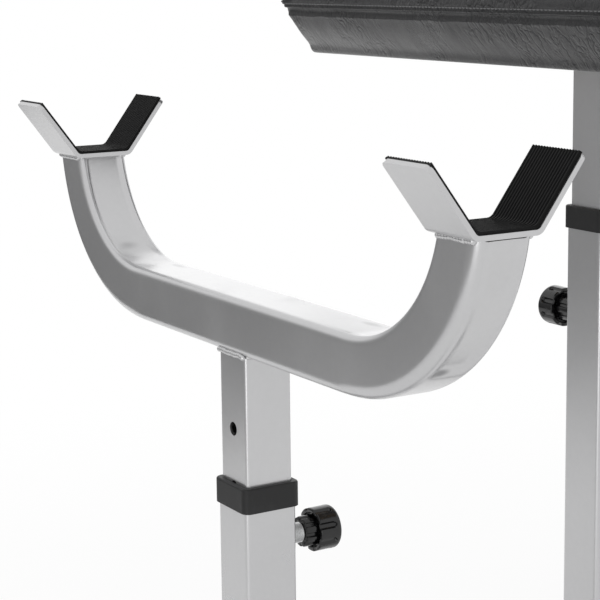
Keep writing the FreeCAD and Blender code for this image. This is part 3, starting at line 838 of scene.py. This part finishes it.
# %% Places on the cushions
pad_seat_height = 926.0
seat_plate_height = 462.0
pad_place = Matrix.Translation((0, pad_post_y * mm, pad_seat_height * mm)) @ Matrix.Rotation(pad_tilt, 4, "X")
seat_place = Matrix.Translation((0, seat_post_y * mm, seat_plate_height * mm))
bracket_plate = 4.0
cheek_face = 26.8
cheek_half_span = 42.0
cheek_bead = 2.2


def bracket_lines(place):
    lines = []
    for side in (-1, 1):
        ends = [place @ Vector((side * cheek_face * mm, end * cheek_half_span * mm, -bracket_plate * mm))
                for end in (-1, 1)]
        lines.append((ends[0] / mm, ends[1] / mm, cheek_bead))
    return lines


add_welds("pad_bracket_welds", "arm_pad", bracket_lines(pad_place))
add_welds("seat_bracket_welds", "seat", bracket_lines(seat_place))

# %% [markdown]
# ## Knobs and their toothed caps
# Each pull pin ends in a black knob with wide lands and narrow grooves that stop short of a plain rim, and
# it sits against a small toothed cap on the threaded sleeve. Cutting grooves out of a cylinder with
# booleans leaves messy edges. A lathe of many thin slices, whose radius dips inside a groove, gives clean
# faces and soft edges.

# %% A lathe with grooves and teeth
knob_slices = 192
groove_count = 8
groove_half = 2.9
groove_depth = 2.3
groove_end = 71.0
groove_round = 3
groove_flank = (1.3, 0.3)
least_groove = 0.4
tooth_count = 9
tooth_depth = 1.5
tooth_flank = (0.26, 0.36)


def groove(angle, radius, along):
    """How deep a groove is cut at this angle and this distance along the knob."""
    turn_share = angle / full_turn * groove_count % 1.0
    aside = abs(turn_share - 0.5) * full_turn / groove_count * radius
    into_end = max((along - groove_end + groove_round) / groove_round, 0.0)
    half = groove_half * math.sqrt(max(1 - into_end ** 2, 0.0))
    if half <= least_groove:
        return 0.0
    return groove_depth * (1 - soft_step(aside, max(half - groove_flank[0], 0.0), half + groove_flank[1]))


def tooth(angle, radius, along):
    """How far the cap's edge falls back between two teeth."""
    turn_share = angle / full_turn * tooth_count % 1.0
    return tooth_depth * soft_step(abs(turn_share - 0.5), *tooth_flank)


def turned(profile, cut, place):
    """Closed skin of a turned piece from (radius, along, cut or not) steps, in millimetres."""
    rings = []
    for radius, along, is_cut in profile:
        ring = []
        for i in range(knob_slices):
            angle = full_turn * i / knob_slices
            reach = radius - (cut(angle, radius, along) if is_cut else 0.0)
            spot = Vector((reach * math.cos(angle) * mm, reach * math.sin(angle) * mm, along * mm))
            ring.append(place @ spot)
        rings.append(ring)
    centres = [place @ Vector((0, 0, along * mm)) for along in (profile[0][1], profile[-1][1])]
    return closed_skin(rings, *centres)


# %% Profiles of knob and caps
knob_radius = 19.5
rim_round = 3.2
rim_start = 72.8
rim_steps = 7
knob_profile = [
    (6.0, 57.5, False), (15.5, 57.5, False), (15.5, 54.7, False), (16.0, 54.1, False),
    (16.6, 54.0, False), (18.6, 54.0, True), (19.2, 54.2, True), (knob_radius, 54.8, True),
]
for along in (*np.linspace(56.0, 67.0, 6), *np.linspace(67.8, 71.6, 9)):
    knob_profile.append((knob_radius, along, True))
knob_profile.append((knob_radius, 72.4, False))
for step in range(rim_steps):
    angle = math.radians(90 / (rim_steps - 1) * step)
    radius = knob_radius - rim_round + rim_round * math.cos(angle)
    knob_profile.append((radius, rim_start + rim_round * math.sin(angle), False))
knob_profile += [(14.6, 75.95, False), (14.0, 75.6, False), (13.2, 75.5, False), (8.0, 75.75, False),
                 (3.0, 75.85, False)]

cap_rim = [(13.8, 52.0, True), (13.8, 56.2, True), (13.2, 57.0, True), (4.2, 57.0, False)]
cap_profile = [(9.1, 42.6, False), (11.6, 42.6, True), (13.2, 43.2, True), (13.7, 44.2, True)] + cap_rim
hub_profile = [(9.1, 25.2, False), (12.4, 25.2, True), (13.0, 26.0, True), (13.4, 40.0, True)] + cap_rim
cap_profiles = {"bar": cap_profile, "pad": hub_profile, "seat": hub_profile}
print("steps on the lathe:", len(knob_profile), "for a knob,", len(cap_profile), "for a cap")

# %% Knobs and their toothed caps
to_y = Matrix.Rotation(math.radians(-90), 4, "X")
quarter = Matrix.Rotation(math.radians(90), 4, "Z")
pin_places = {
    "bar": Matrix.Translation((0, bar_post_y * mm, 401.5 * mm)) @ to_y,
    "pad": Matrix.Translation((0, pad_post_y * mm, 557.0 * mm)) @ quarter @ to_y,
    "seat": Matrix.Translation((0, seat_post_y * mm, 278.0 * mm)) @ quarter @ to_y,
}
cap_skins = []
for name, place in pin_places.items():
    shell = add_piece(name + "_knob_shell", turned(knob_profile, groove, place), name + "_pull_pin",
                      knob_gloss, 50.0)
    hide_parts(name + "_knob")
    cap_skins.append(turned(cap_profiles[name], tooth, place))
caps = add_piece("toothed_caps", joined(cap_skins), "base_frame", knob_gloss, 40.0)
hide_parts("pin_caps")

# %% [markdown]
# ## Return springs
# Inside each sleeve a coil spring pushes the pin back into its hole. It is out of sight, and on the real
# bench it gives way when the knob is pulled. Here each spring is a wire wound once more, in a mesh of
# its own, and it keeps its wound shape.

# %% Return springs
spring_radius = 5.8
spring_wire = 0.6
spring_turns = 6
spring_ends = (33.2, 51.8)
turn_steps = 24
wire_sides = 10


def spring_skin(place):
    low, high = spring_ends
    pitch = (high - low - 2 * spring_wire) / spring_turns
    slope = math.atan2(pitch, full_turn * spring_radius)
    middles = []
    rings = []
    for i in range(spring_turns * turn_steps + 1):
        angle = full_turn * i / turn_steps
        out = Vector((math.cos(angle), math.sin(angle), 0))
        over = Vector((math.sin(angle) * math.sin(slope), -math.cos(angle) * math.sin(slope),
                       math.cos(slope)))
        middles.append(out * spring_radius + Vector((0, 0, low + spring_wire + pitch * i / turn_steps)))
        rings.append([place @ (point * mm)
                      for point in round_ring(middles[-1], out, over, spring_wire, wire_sides)])
    return closed_skin(rings, place @ (middles[0] * mm), place @ (middles[-1] * mm))


for name, place in pin_places.items():
    coil = add_piece(name + "_coil", spring_skin(place), "base_frame",
                     finishes["spring_steel"], 60.0)
    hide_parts(name + "_spring")
    name + "_pin_pull"
    place.to_3x3() @ Vector((0, 0, 1))
    place @ Vector((0, 0, spring_ends[1] * mm))
    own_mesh(coil)

# %% [markdown]
# ## Cushions, as an upholsterer sees them
# A cushion is foam on a board, under a cover sewn from a top panel and a wall. The wall is pulled
# down and stapled underneath, so it is almost straight. Near the top a fold and a strip run round it, and
# above them a groove holds the seam of the top panel, which swells into a crown. The tables give that
# profile as height and inset, in millimetres, for rings from the board's pocket up to the seam.

# %% Profile of a cushion
pad_strip = (53, 69.7)
pad_end_slope = 0.287


def pad_wall():
    rows = [(15.2, 14.0), (0.0, 14.0), (-0.3, 11.0), (-0.4, 6.0), (-0.2, 3.0), (0.5, 1.4), (1.8, 0.4),
            (3.6, -0.1)]
    rows += [(height, -0.2 - 0.8 * math.sin(math.pi * height / 56)) for height in np.linspace(6.5, 51.0, 15)]
    rows += [(52.6, -0.3), (53.6, 0.2), (54.5, 1.0), (55.4, 1.9), (56.3, 2.8), (57.1, 3.4), (57.8, 3.6),
             (58.5, 3.2), (59.3, 2.5), (60.3, 1.9), (61.4, 1.7), (62.5, 1.8), (63.5, 2.1), (64.3, 2.7),
             (64.9, 3.5), (65.3, 4.4)]
    rows += [(65.5, 3.7), (65.9, 2.9), (66.5, 2.4), (67.1, 2.3), (67.7, 2.6), (68.2, 3.2), (68.5, 3.9),
             (68.9, 4.4), (69.7, 4.8)]
    return rows


def pad_end(height, inset):
    """Smoother inset for the ends of the arm pad, where the strip lies flat."""
    return (height - pad_strip[0]) * pad_end_slope if pad_strip[0] <= height <= pad_strip[1] else inset


def seat_wall():
    rows = [(15.2, 14.0), (0.0, 14.0), (-0.3, 12.0), (-0.3, 9.0), (0.2, 6.4), (1.4, 4.6), (3.4, 3.2)]
    for height in np.linspace(6.0, 36.0, 10):
        rows.append((height, 3.2 * (1 - math.sin(math.pi / 2 * min(height / 26, 1)))))
    rows += [(38.0, 0.6), (39.2, 1.8), (40.0, 3.2), (40.8, 2.4), (41.8, 1.8), (43.2, 2.2), (44.8, 3.2)]
    return rows


def seat_end(height, inset):
    """The seat has the same profile all the way round."""
    return inset


def crown(start, thickness, reach, power, steps=12):
    """Rings from the seam over the shoulder to the flat of the top."""
    low, first = start
    rows = []
    for step in range(1, steps + 1):
        angle = math.pi / 2 * step / steps
        rise = math.sin(angle) ** (2 / power)
        close = 1 - max(math.cos(angle), 0.0) ** (2 / power)
        rows.append((low + (thickness - low) * rise, first + (reach - first) * close))
    return rows


print("rings of the walls:", len(pad_wall()), "on the pad,", len(seat_wall()), "on the seat")

# %% [markdown]
# ## Two cushions in numbers
# Both cushions come from the same code, so what differs between them stands in one table each. The plan
# is half the width, half the length, the middle along the slope and the corner. The counts are points
# along a long side, along a short side and round a corner. The strip of the real pad is sharp along its
# front and lies flat round its ends, so the ends have an inset of their own.

# %% Two cushions in numbers
pad_spec = {
    "plan": (316.0, 145.0, -39.0, 16.0), "wall": pad_wall(), "end": pad_end,
    "thickness": 88.0, "reach": 44.0, "power": 2.6, "dome": 2.5, "fold": 56.0,
    "counts": (200, 88, 14), "top_rings": 34, "rows_over_seam": 6, "seam_hold": (63.5, 70.0, 0.97),
}
seat_spec = {
    "plan": (180.0, 160.0, 0.0, 55.0), "wall": seat_wall(), "end": seat_end,
    "thickness": 64.0, "reach": 66.0, "power": 2.3, "dome": 2.5, "fold": 36.0,
    "counts": (90, 76, 32), "top_rings": 26, "rows_over_seam": 2, "seam_hold": (39.0, 44.0, 0.97),
}
for spec in (pad_spec, seat_spec):
    spec["rows"] = spec["wall"] + crown(spec["wall"][-1], spec["thickness"], spec["reach"], spec["power"])
corner_give = 0.6
least_corner = 7.0
end_share = 0.15
front_span = (0.6, 1.0)


def outline(spec, inset, less=0.0):
    """Points of a rounded rectangle, always in the same order."""
    half_width, half_length, middle_y, corner = spec["plan"]
    counts = spec["counts"]
    wide = half_width - less - inset
    long = half_length - less - inset
    radius = max(corner - inset * corner_give, min(corner, least_corner))
    points = []
    sides = ((1, -1, 0), (1, 1, 90), (-1, 1, 180), (-1, -1, 270))
    for i, (side_x, side_y, start) in enumerate(sides):
        centre = (side_x * (wide - radius), side_y * (long - radius))
        for step in range(counts[2]):
            angle = math.radians(start - 90 + 90 * (step + 0.5) / counts[2])
            points.append((centre[0] + radius * math.cos(angle), centre[1] + radius * math.sin(angle)))
        following = sides[(i + 1) % 4]
        target = (following[0] * (wide - radius), following[1] * (long - radius))
        count = counts[1] if i % 2 == 0 else counts[0]
        shift = (radius * math.cos(math.radians(start)), radius * math.sin(math.radians(start)))
        for step in range(count):
            share = (step + 0.5) / count
            points.append((centre[0] + (target[0] - centre[0]) * share + shift[0],
                           centre[1] + (target[1] - centre[1]) * share + shift[1]))
    return points


def front_shares(counts):
    """1 for outline points on the long walls, and less round the corners and on the ends."""
    angles = []
    for i, start in enumerate((0, 90, 180, 270)):
        angles += [start - 90 + 90 * (step + 0.5) / counts[2] for step in range(counts[2])]
        angles += [start] * (counts[1] if i % 2 == 0 else counts[0])
    return [end_share + (1 - end_share) * soft_step(abs(math.sin(math.radians(angle))), *front_span)
            for angle in angles]


print("points round a cushion:", len(outline(pad_spec, 0.0)), "and", len(outline(seat_spec, 0.0)))

# %% [markdown]
# ## Letting the foam swell
# Foam pushes its cover out wherever no seam holds it. That is what a cloth simulation with inner pressure
# works out. A plain block of the cushion, a little too small, is remeshed into even squares, held at the
# hem and along the seam, and blown up for twenty frames. How far each point moved, up to a cap, is
# then carried over to the finely ringed cover, so that seams and folds stay sharp.

# %% Letting the foam swell
voxel = 0.005
foam_pressure = 4.0
swell_frames = 20
swell_cap = 0.006
shrink = 0.003


def swelling(name, points, faces, held_rows):
    """Start points of a simulated block and how far each one moved."""
    mesh = bpy.data.meshes.new(name)
    mesh.from_pydata(points, [], faces)
    block = linked(name, mesh)
    remesh = block.modifiers.new("remesh", "REMESH")
    remesh.mode = "VOXEL"
    remesh.voxel_size = voxel
    bpy.context.view_layer.update()
    graph = bpy.context.evaluated_depsgraph_get()
    even = bpy.data.meshes.new_from_object(block.evaluated_get(graph))
    block.modifiers.clear()
    block.data = even
    start = np.array([corner.co for corner in even.vertices])
    held = block.vertex_groups.new(name="held")
    for low, high, weight in held_rows:
        rows = [i for i in range(len(start)) if low * mm <= start[i][2] <= high * mm]
        held.add(rows, weight, "REPLACE")
    cloth = block.modifiers.new("cloth", "CLOTH")
    cloth.settings.use_pressure = True
    cloth.settings.uniform_pressure_force = foam_pressure
    cloth.settings.effector_weights.gravity = 0.0
    cloth.settings.vertex_group_mass = "held"
    cloth.point_cache.frame_end = swell_frames
    for step in range(1, swell_frames + 1):
        bpy.context.scene.frame_set(step)
    graph = bpy.context.evaluated_depsgraph_get()
    after = np.array([corner.co for corner in block.evaluated_get(graph).data.vertices])
    bpy.context.scene.frame_set(1)
    bpy.data.objects.remove(block)
    moved = after - start
    far = np.linalg.norm(moved, axis=1, keepdims=True)
    moved *= np.minimum(1.0, swell_cap / np.maximum(far, 1e-9))
    print(name, "swelled by up to", round(float(far.max()) / mm, 1), "mm, kept to", swell_cap / mm)
    return start, moved


# %% Carrying the swelling to the cover
near_count = 6
near_softness = 0.002
hem_hold = (-5.0, 9.0, 1.0)
hem_turn = (2.0, 1.0)
first_wall_row = 6
free_from = 3.0
free_over = 8.0


def carried(points, start, moved):
    """Movement of the nearest simulated points, weighted by closeness."""
    tree = kdtree.KDTree(len(start))
    for i, spot in enumerate(start):
        tree.insert(spot, i)
    tree.balance()
    carry = []
    for point in points:
        near = tree.find_n(point, near_count)
        weights = np.array([1 / (distance + near_softness) ** 2 for spot, i, distance in near])
        pulls = weights[:, None] * moved[[i for spot, i, distance in near]]
        carry.append(pulls.sum(axis=0) / weights.sum())
    return np.array(carry)


def foam_movement(name, spec, points, outward):
    """How far the swelling foam carries each point of the cover."""
    rows = spec["rows"]
    less = shrink / mm
    highest = rows[-1][0] - less
    block = []
    for height, inset in [rows[1], hem_turn] + rows[first_wall_row:]:
        flat = outline(spec, max(inset, 0.0), less)
        block.append([(x * mm, y * mm, min(height, highest) * mm) for x, y in flat])
    skin = closed_skin(block, (0, 0, block[0][0][2]), (0, 0, block[-1][0][2]))
    start, moved = swelling(name + "_foam", *skin, (hem_hold, spec["seam_hold"]))
    carry = carried(points - outward * shrink, start, moved) - outward * shrink
    free = np.clip((points[:, 2] / mm - free_from) / free_over, 0.0, 1.0)
    return carry * free[:, None]


# %% [markdown]
# ## The covers
# The cover's rings follow the profile, and the top is closed by rings that shrink to the middle. Pull
# folds cross the wall, close together and less than half a millimetre deep, and the top carries broad
# shallow waves. The rings are about three millimetres apart, so no facet is left to see.

# %% Rings and folds of a cover
dome_power = 2.2
fine_pull = 0.36
broad_pull = 0.5
wave_height = 0.9


def cover_rings(spec):
    """Rings of a cover in millimetres, from the board's pocket to the middle of the top."""
    shares = front_shares(spec["counts"])
    rings = []
    for height, inset in spec["rows"]:
        sharp = outline(spec, inset)
        plain = outline(spec, spec["end"](height, inset))
        rings.append([(b[0] + (a[0] - b[0]) * share, b[1] + (a[1] - b[1]) * share, height)
                      for a, b, share in zip(sharp, plain, shares)])
    last = rings[-1]
    for step in range(1, spec["top_rings"]):
        share = 1 - step / spec["top_rings"]
        bulge = spec["dome"] * (1 - share ** dome_power)
        rings.append([(x * share, y * share, height + bulge) for x, y, height in last])
    return rings


def fold_height(x, y, height, spec):
    """Pull folds on the wall and waves on the top, in millimetres."""
    wall_share = soft_step(height, 3, 14) * (1 - soft_step(height, spec["fold"] - 4, spec["fold"]))
    top_share = soft_step(height, spec["thickness"] - 12, spec["thickness"] - 2)
    patch = soft_step(noise.noise(Vector((x / 50, y / 50, height / 30))), -0.25, 0.35)
    pulls = noise.noise(Vector((x / 7, y / 7, height / 26))) * fine_pull * patch
    pulls += noise.noise(Vector((x / 21, y / 21, height / 45 + 9))) * broad_pull
    waves = noise.noise(Vector((x / 46, y / 46, 3.7))) * wave_height
    return pulls * wall_share + waves * top_share


# %% The covers
def cushion_cover(name, spec, place, body, node, finish):
    """Add a cover, and return the line of its seam with the directions that face out of it."""
    rings = [[(x * mm, y * mm, height * mm) for x, y, height in ring] for ring in cover_rings(spec)]
    rows = spec["rows"]
    middle_y = spec["plan"][2]
    bottom = (0, 0, rows[0][0] * mm)
    top = (0, 0, (rows[-1][0] + spec["dome"]) * mm)
    flat_points, faces = closed_skin(rings, bottom, top)
    mesh = outward_mesh(name + "_normals", flat_points, faces)
    outward = np.array([corner.normal for corner in mesh.vertices])
    bpy.data.meshes.remove(mesh)

    flat_points = np.array(flat_points)
    points = flat_points.copy()
    points += foam_movement(name, spec, flat_points, outward)
    for i, (x, y, height) in enumerate(flat_points / mm):
        points[i] += outward[i] * fold_height(x, y, height, spec) * mm

    set_points = [place @ (Vector(point) + Vector((0, middle_y * mm, 0))) for point in points]
    cover = add_piece(name, (set_points, faces), body, finish, 180.0)
    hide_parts(node)
    size = len(rings[0])
    first = (len(spec["wall"]) - spec["rows_over_seam"]) * size
    outs = [place.to_3x3() @ Vector(outward[first + i]) for i in range(size)]
    return set_points[first:first + size], outs


pad_seam = cushion_cover("arm_pad_cover", pad_spec, pad_place, "arm_pad", "pad_cushion", pad_leatherette)
seat_seam = cushion_cover(
    "seat_cover", seat_spec, seat_place, "seat", "seat_cushion", finishes["leatherette"])

# %% [markdown]
# ## Stitches
# The top panel is sewn to the wall by a lockstitch, which shows as a row of short slanting threads. They
# are too fine for the cover's mesh and would be flat in a bump, so each stitch is a small capsule that
# lies on the seam and dips into it at both ends.

# %% Stitches
stitch_pitch = 5.2
stitch_length = 4.6
stitch_radius = 0.65
stitch_sides = 8
stitch_steps = 8


def end_centre(ring):
    """Middle of a ring, halfway between two points that face each other."""
    return ring[0].lerp(ring[len(ring) // 2], 0.5)


def stitch(start, end, out):
    """One thread that arches over the cover between two needle holes."""
    run = end - start
    aside = run.cross(out).normalized()
    rings = []
    for i in range(stitch_steps + 1):
        share = i / stitch_steps
        arch = math.sin(math.pi * share)
        middle = start + run * share + out * (arch * 0.5 - 0.2) * mm
        width = stitch_radius * mm * (0.55 + 0.45 * arch)
        rings.append(round_ring(middle, aside, out, width, stitch_sides))
    return closed_skin(rings, end_centre(rings[0]), end_centre(rings[-1]))


def add_stitches(name, line, outs, body):
    lengths = [0.0]
    for i in range(len(line)):
        lengths.append(lengths[-1] + (line[(i + 1) % len(line)] - line[i]).length)

    def at(distance):
        distance %= lengths[-1]
        i = int(np.searchsorted(lengths, distance, side="right")) - 1
        share = (distance - lengths[i]) / (lengths[i + 1] - lengths[i])
        after = (i + 1) % len(line)
        return line[i].lerp(line[after], share), outs[i].lerp(outs[after], share).normalized()

    count = int(lengths[-1] / (stitch_pitch * mm))
    threads = []
    for n in range(count):
        middle = lengths[-1] * n / count
        start, start_out = at(middle - stitch_length * mm / 2)
        end, end_out = at(middle + stitch_length * mm / 2)
        threads.append(stitch(start, end, (start_out + end_out).normalized()))
    return add_piece(name, joined(threads), body, painted_glint_thread, 60.0)


add_stitches("arm_pad_stitches", *pad_seam, "arm_pad")
add_stitches("seat_stitches", *seat_seam, "seat")

# %% [markdown]
# ## The stapled margin underneath
# Under each board the cover is turned in and stapled down, and its cut edge is never quite straight.
# It is seen only from below, but a cushion without it looks like a toy. The margin is a thin ring
# whose inner edge wanders, and the staples are bent wires in a row along it.

# %% Margin
margin_inset = 7.0
margin_width = 34.0
edge_wander = 0.22
margin_lift = 0.25
margin_rows = ((0.0, 0.2), (0.0, -0.7), (0.04, -1.1), (0.5, -1.3), (0.96, -1.2), (1.0, -0.8), (1.0, -0.1))


def margin_skin(spec, place):
    outer = outline(spec, margin_inset)
    inner = outline(spec, margin_inset + margin_width)
    size = len(outer)
    points = []
    for share, low in margin_rows:
        for i in range(size):
            wander = noise.noise(Vector((outer[i][0] / 60, outer[i][1] / 60, 5.1))) * edge_wander
            reach = share * (1 + wander)
            x = outer[i][0] + (inner[i][0] - outer[i][0]) * reach
            y = outer[i][1] + (inner[i][1] - outer[i][1]) * reach
            lift = noise.noise(Vector((x / 23, y / 23, 1.3))) * margin_lift * share
            points.append(place @ Vector((x * mm, (y + spec["plan"][2]) * mm, (low - abs(lift)) * mm)))
    faces = []
    for i in range(len(margin_rows)):
        faces += band(i * size, (i + 1) % len(margin_rows) * size, size)
    return points, faces


# %% Staples
staple_inset = 22.0
staple_pitch = 32.0
staple_span = 10.0
staple_wire = 0.55
staple_flat = 1.3
staple_seed = 7
staple_slant = 0.25
staple_path = ((-0.5, 0.6), (-0.49, 1.7), (-0.45, 2.0), (0.45, 2.0), (0.49, 1.7), (0.5, 0.6))
wire_corners = ((1, 1), (-1, 1), (-1, -1), (1, -1))


def staple(here, ahead, spec, place):
    """A flat wire bent down at both ends."""
    aside = Vector((-ahead.y, ahead.x, 0))
    down = Vector((0, 0, -1))
    path = [here + ahead * (share * staple_span) + down * drop for share, drop in staple_path]
    rings = []
    for k, spot in enumerate(path):
        bend = (path[min(k + 1, len(path) - 1)] - path[max(k - 1, 0)]).normalized()
        over = aside.cross(bend)
        set_spot = spot + Vector((0, spec["plan"][2], 0))
        rings.append([place @ ((set_spot + (aside * a * staple_flat + over * b) * staple_wire) * mm)
                      for a, b in wire_corners])
    return closed_skin(rings, end_centre(rings[0]), end_centre(rings[-1]))


def staple_skin(spec, place):
    ring = outline(spec, staple_inset)
    dice = random.Random(staple_seed)
    staples = []
    travelled = 0.0
    for i in range(len(ring)):
        here = Vector((*ring[i], 0))
        run = Vector((*ring[(i + 1) % len(ring)], 0)) - here
        travelled += run.length
        if travelled >= staple_pitch:
            travelled = 0.0
            slant = Matrix.Rotation(dice.uniform(-staple_slant, staple_slant), 3, "Z")
            staples.append(staple(here, slant @ run.normalized(), spec, place))
    return joined(staples)


for name, spec, place, finish in (("arm_pad", pad_spec, pad_place, pad_leatherette),
                                  ("seat", seat_spec, seat_place, finishes["leatherette"])):
    add_piece(name + "_margin", margin_skin(spec, place), name, finish, 60.0)
    add_piece(name + "_staples", staple_skin(spec, place), name, finishes["zinc_steel"], 30.0)

# %% [markdown]
# ## Floor
# A product picture is lit so that metal has something to reflect. A white floor and a white room light
# it from all around. The floor glows for the camera and for reflections only, so it is white and still
# takes a shadow, and its glow grows towards the rim, where it meets the white of the room.

# %% Floor
def stage_sheet(name, points, faces, finish):
    mesh = bpy.data.meshes.new(name)
    mesh.from_pydata(points, [], faces)
    mesh.materials.append(finish.owner)
    sheet = linked(name, mesh)
    sheet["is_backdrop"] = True
    print(name, "has", len(points), "points")
    return sheet


def seen_share(finish):
    """1 for rays from the camera, from gloss and through glass, and 0 for the rest."""
    rays = [finish.node("LightPath", output=name)
            for name in ("Is Camera Ray", "Is Glossy Ray", "Is Transmission Ray")]
    return finish.node("Math", {"operation": "MINIMUM"}, {0: rays[0] + rays[1] + rays[2], 1: 1.0})


def glowing(finish, colour):
    return finish.node("Emission", {}, {"Color": colour, "Strength": 1.0})


white = (1.0, 1.0, 1.0)
floor_radius = 2.1
floor_rings = 12
floor_slices = 96
floor_glow = 0.82
glow_start = 0.4
floor_paint = new_finish("studio_floor")
floor_tone = floor_paint.mix(floor_paint.clouds(0.4, 3.0), (0.88, 0.88, 0.88), (0.91, 0.91, 0.91))
matt = floor_paint.node("BsdfDiffuse", {}, {"Color": floor_tone})
from_middle = floor_paint.vector("LENGTH", floor_paint.place(), output="Value")
rim = floor_paint.between(from_middle, glow_start, floor_radius)
glow_share = seen_share(floor_paint) * (floor_glow + rim * (1 - floor_glow))
mixed = floor_paint.node("MixShader", {}, {0: glow_share, 1: matt, 2: glowing(floor_paint, white)})
floor_paint.node("OutputMaterial", {}, {"Surface": mixed})

floor_points = [(0.0, 0.0, 0.0)]
floor_faces = fan(0, 1, floor_slices)
for k in range(1, floor_rings + 1):
    reach = floor_radius * k / floor_rings
    for i in range(floor_slices):
        angle = full_turn * i / floor_slices
        floor_points.append((reach * math.cos(angle), reach * math.sin(angle), 0.0))
for k in range(floor_rings - 1):
    floor_faces += band(1 + k * floor_slices, 1 + (k + 1) * floor_slices, floor_slices)
stage_sheet("studio_floor", floor_points, floor_faces, floor_paint)

# %% [markdown]
# ## Flag
# In an all white room silver paint would look white too. Photographers stand a grey flag where the darker
# faces look, and here a curved one runs round the left and the front. The camera doesn't see it, it
# casts no shadow and takes no light from the object, so it works in reflections alone.

# %% Flag
flag_start = math.radians(165)
flag_full = math.radians(202)
flag_end = math.radians(280)
flag_columns = 48
flag_retreat = 1.4
flag_line = ((floor_radius, 0.0), (3.0, 0.0), (3.5, 0.0), (4.0, 0.0), (4.4, 0.05), (4.6, 0.25), (4.7, 0.5),
             (4.7, 0.9), (4.7, 1.3), (4.7, 1.7))
flag_reach = flag_line[-1][0]
flag_grey = ((0.24, 0.24, 0.24), (0.37, 0.37, 0.37))
flag_top_grey = (0.8, 0.8, 0.8)
flag_front = (-1.8, -3.0)
flag_rise = (0.4, 1.7)

flag_points = []
flag_faces = []
for row_reach, height in flag_line:
    share = (row_reach - floor_radius) / (flag_reach - floor_radius)
    for i in range(flag_columns + 1):
        angle = flag_start + (flag_end - flag_start) * i / flag_columns
        near = floor_radius + flag_retreat * (1 - soft_step(angle, flag_start, flag_full))
        reach = near + (flag_reach - near) * share
        flag_points.append((reach * math.cos(angle), reach * math.sin(angle), height))
for k in range(len(flag_line) - 1):
    for i in range(flag_columns):
        first = k * (flag_columns + 1) + i
        above = first + flag_columns + 1
        flag_faces.append((first, first + 1, above + 1, above))

flag_cloth = new_finish("studio_flag")
flag_height = flag_cloth.node("SeparateXYZ", {}, {0: flag_cloth.place()}, "Z")
flag_side = flag_cloth.node("SeparateXYZ", {}, {0: flag_cloth.place()}, "Y")
flag_low = flag_cloth.mix(flag_cloth.between(flag_side, *flag_front), *flag_grey)
flag_tone = flag_cloth.mix(flag_cloth.between(flag_height, *flag_rise), flag_low, flag_top_grey)
flag_cloth.node("OutputMaterial", {}, {"Surface": glowing(flag_cloth, flag_tone)})
flag = stage_sheet("studio_flag", flag_points, flag_faces, flag_cloth)
flag.visible_camera = False
flag.visible_diffuse = False
flag.visible_shadow = False

# %% [markdown]
# ## Room and lamps
# The room is white where the camera or a reflection looks, and a plain grey light elsewhere. A large panel
# above gives soft shadows and stays out of reflections, since a lamp adds to the white room behind it.
# A lamp behind draws the far edges, and one in front lights the corners of the tubes. All of them stay at
# a plain level, where a colour comes out about as it is written.

# %% Room and lamps
ambient = 0.5
room = Finish(bpy.data.worlds.new("studio_room"))
seen = room.node("Background", {}, {"Color": white, "Strength": 1.0})
unseen = room.node("Background", {}, {"Color": (ambient,) * 3, "Strength": 1.0})
both = room.node("MixShader", {}, {0: seen_share(room), 1: unseen, 2: seen})
room.node("OutputWorld", {}, {"Surface": both})
bpy.context.scene.world = room.owner
lamp_aim = Vector((0.0, 0.0, 0.6))


def soft_lamp(name, place, size, radiance):
    """A square lamp whose face is as bright as the given radiance."""
    lamp = bpy.data.lights.new(name, "AREA")
    lamp.shape = "SQUARE"
    lamp.size = size
    lamp.energy = radiance * math.pi * size * size
    holder = linked(name, lamp)
    holder.location = place
    holder.rotation_euler = (Vector(place) - lamp_aim).to_track_quat("Z", "Y").to_euler()
    holder.visible_camera = False
    print(name, "gives", round(lamp.energy, 1), "watts")
    return holder


soft_lamp("ceiling_panel", (0.0, 0.0, 3.0), 5.0, 0.9).visible_glossy = False
soft_lamp("back_lamp", (-3.0, 1.8, 1.5), 2.4, 0.42)
soft_lamp("front_lamp", (1.8, -2.5, 0.4), 1.2, 1.8)

# %% [markdown]
# ## Measuring the result
# Cloth may stand a little proud of the solids, but the bench must keep its size. So the box of the frame
# and the box of the dressed bench are both printed.

# %% Measuring the result
visual_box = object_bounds()
boxes = {"cad": [list(corner) for corner in cad_box], "visual": [list(corner) for corner in visual_box]}
for name, (low, high) in boxes.items():
    print(name, [round(b - a, 4) for a, b in zip(low, high)])
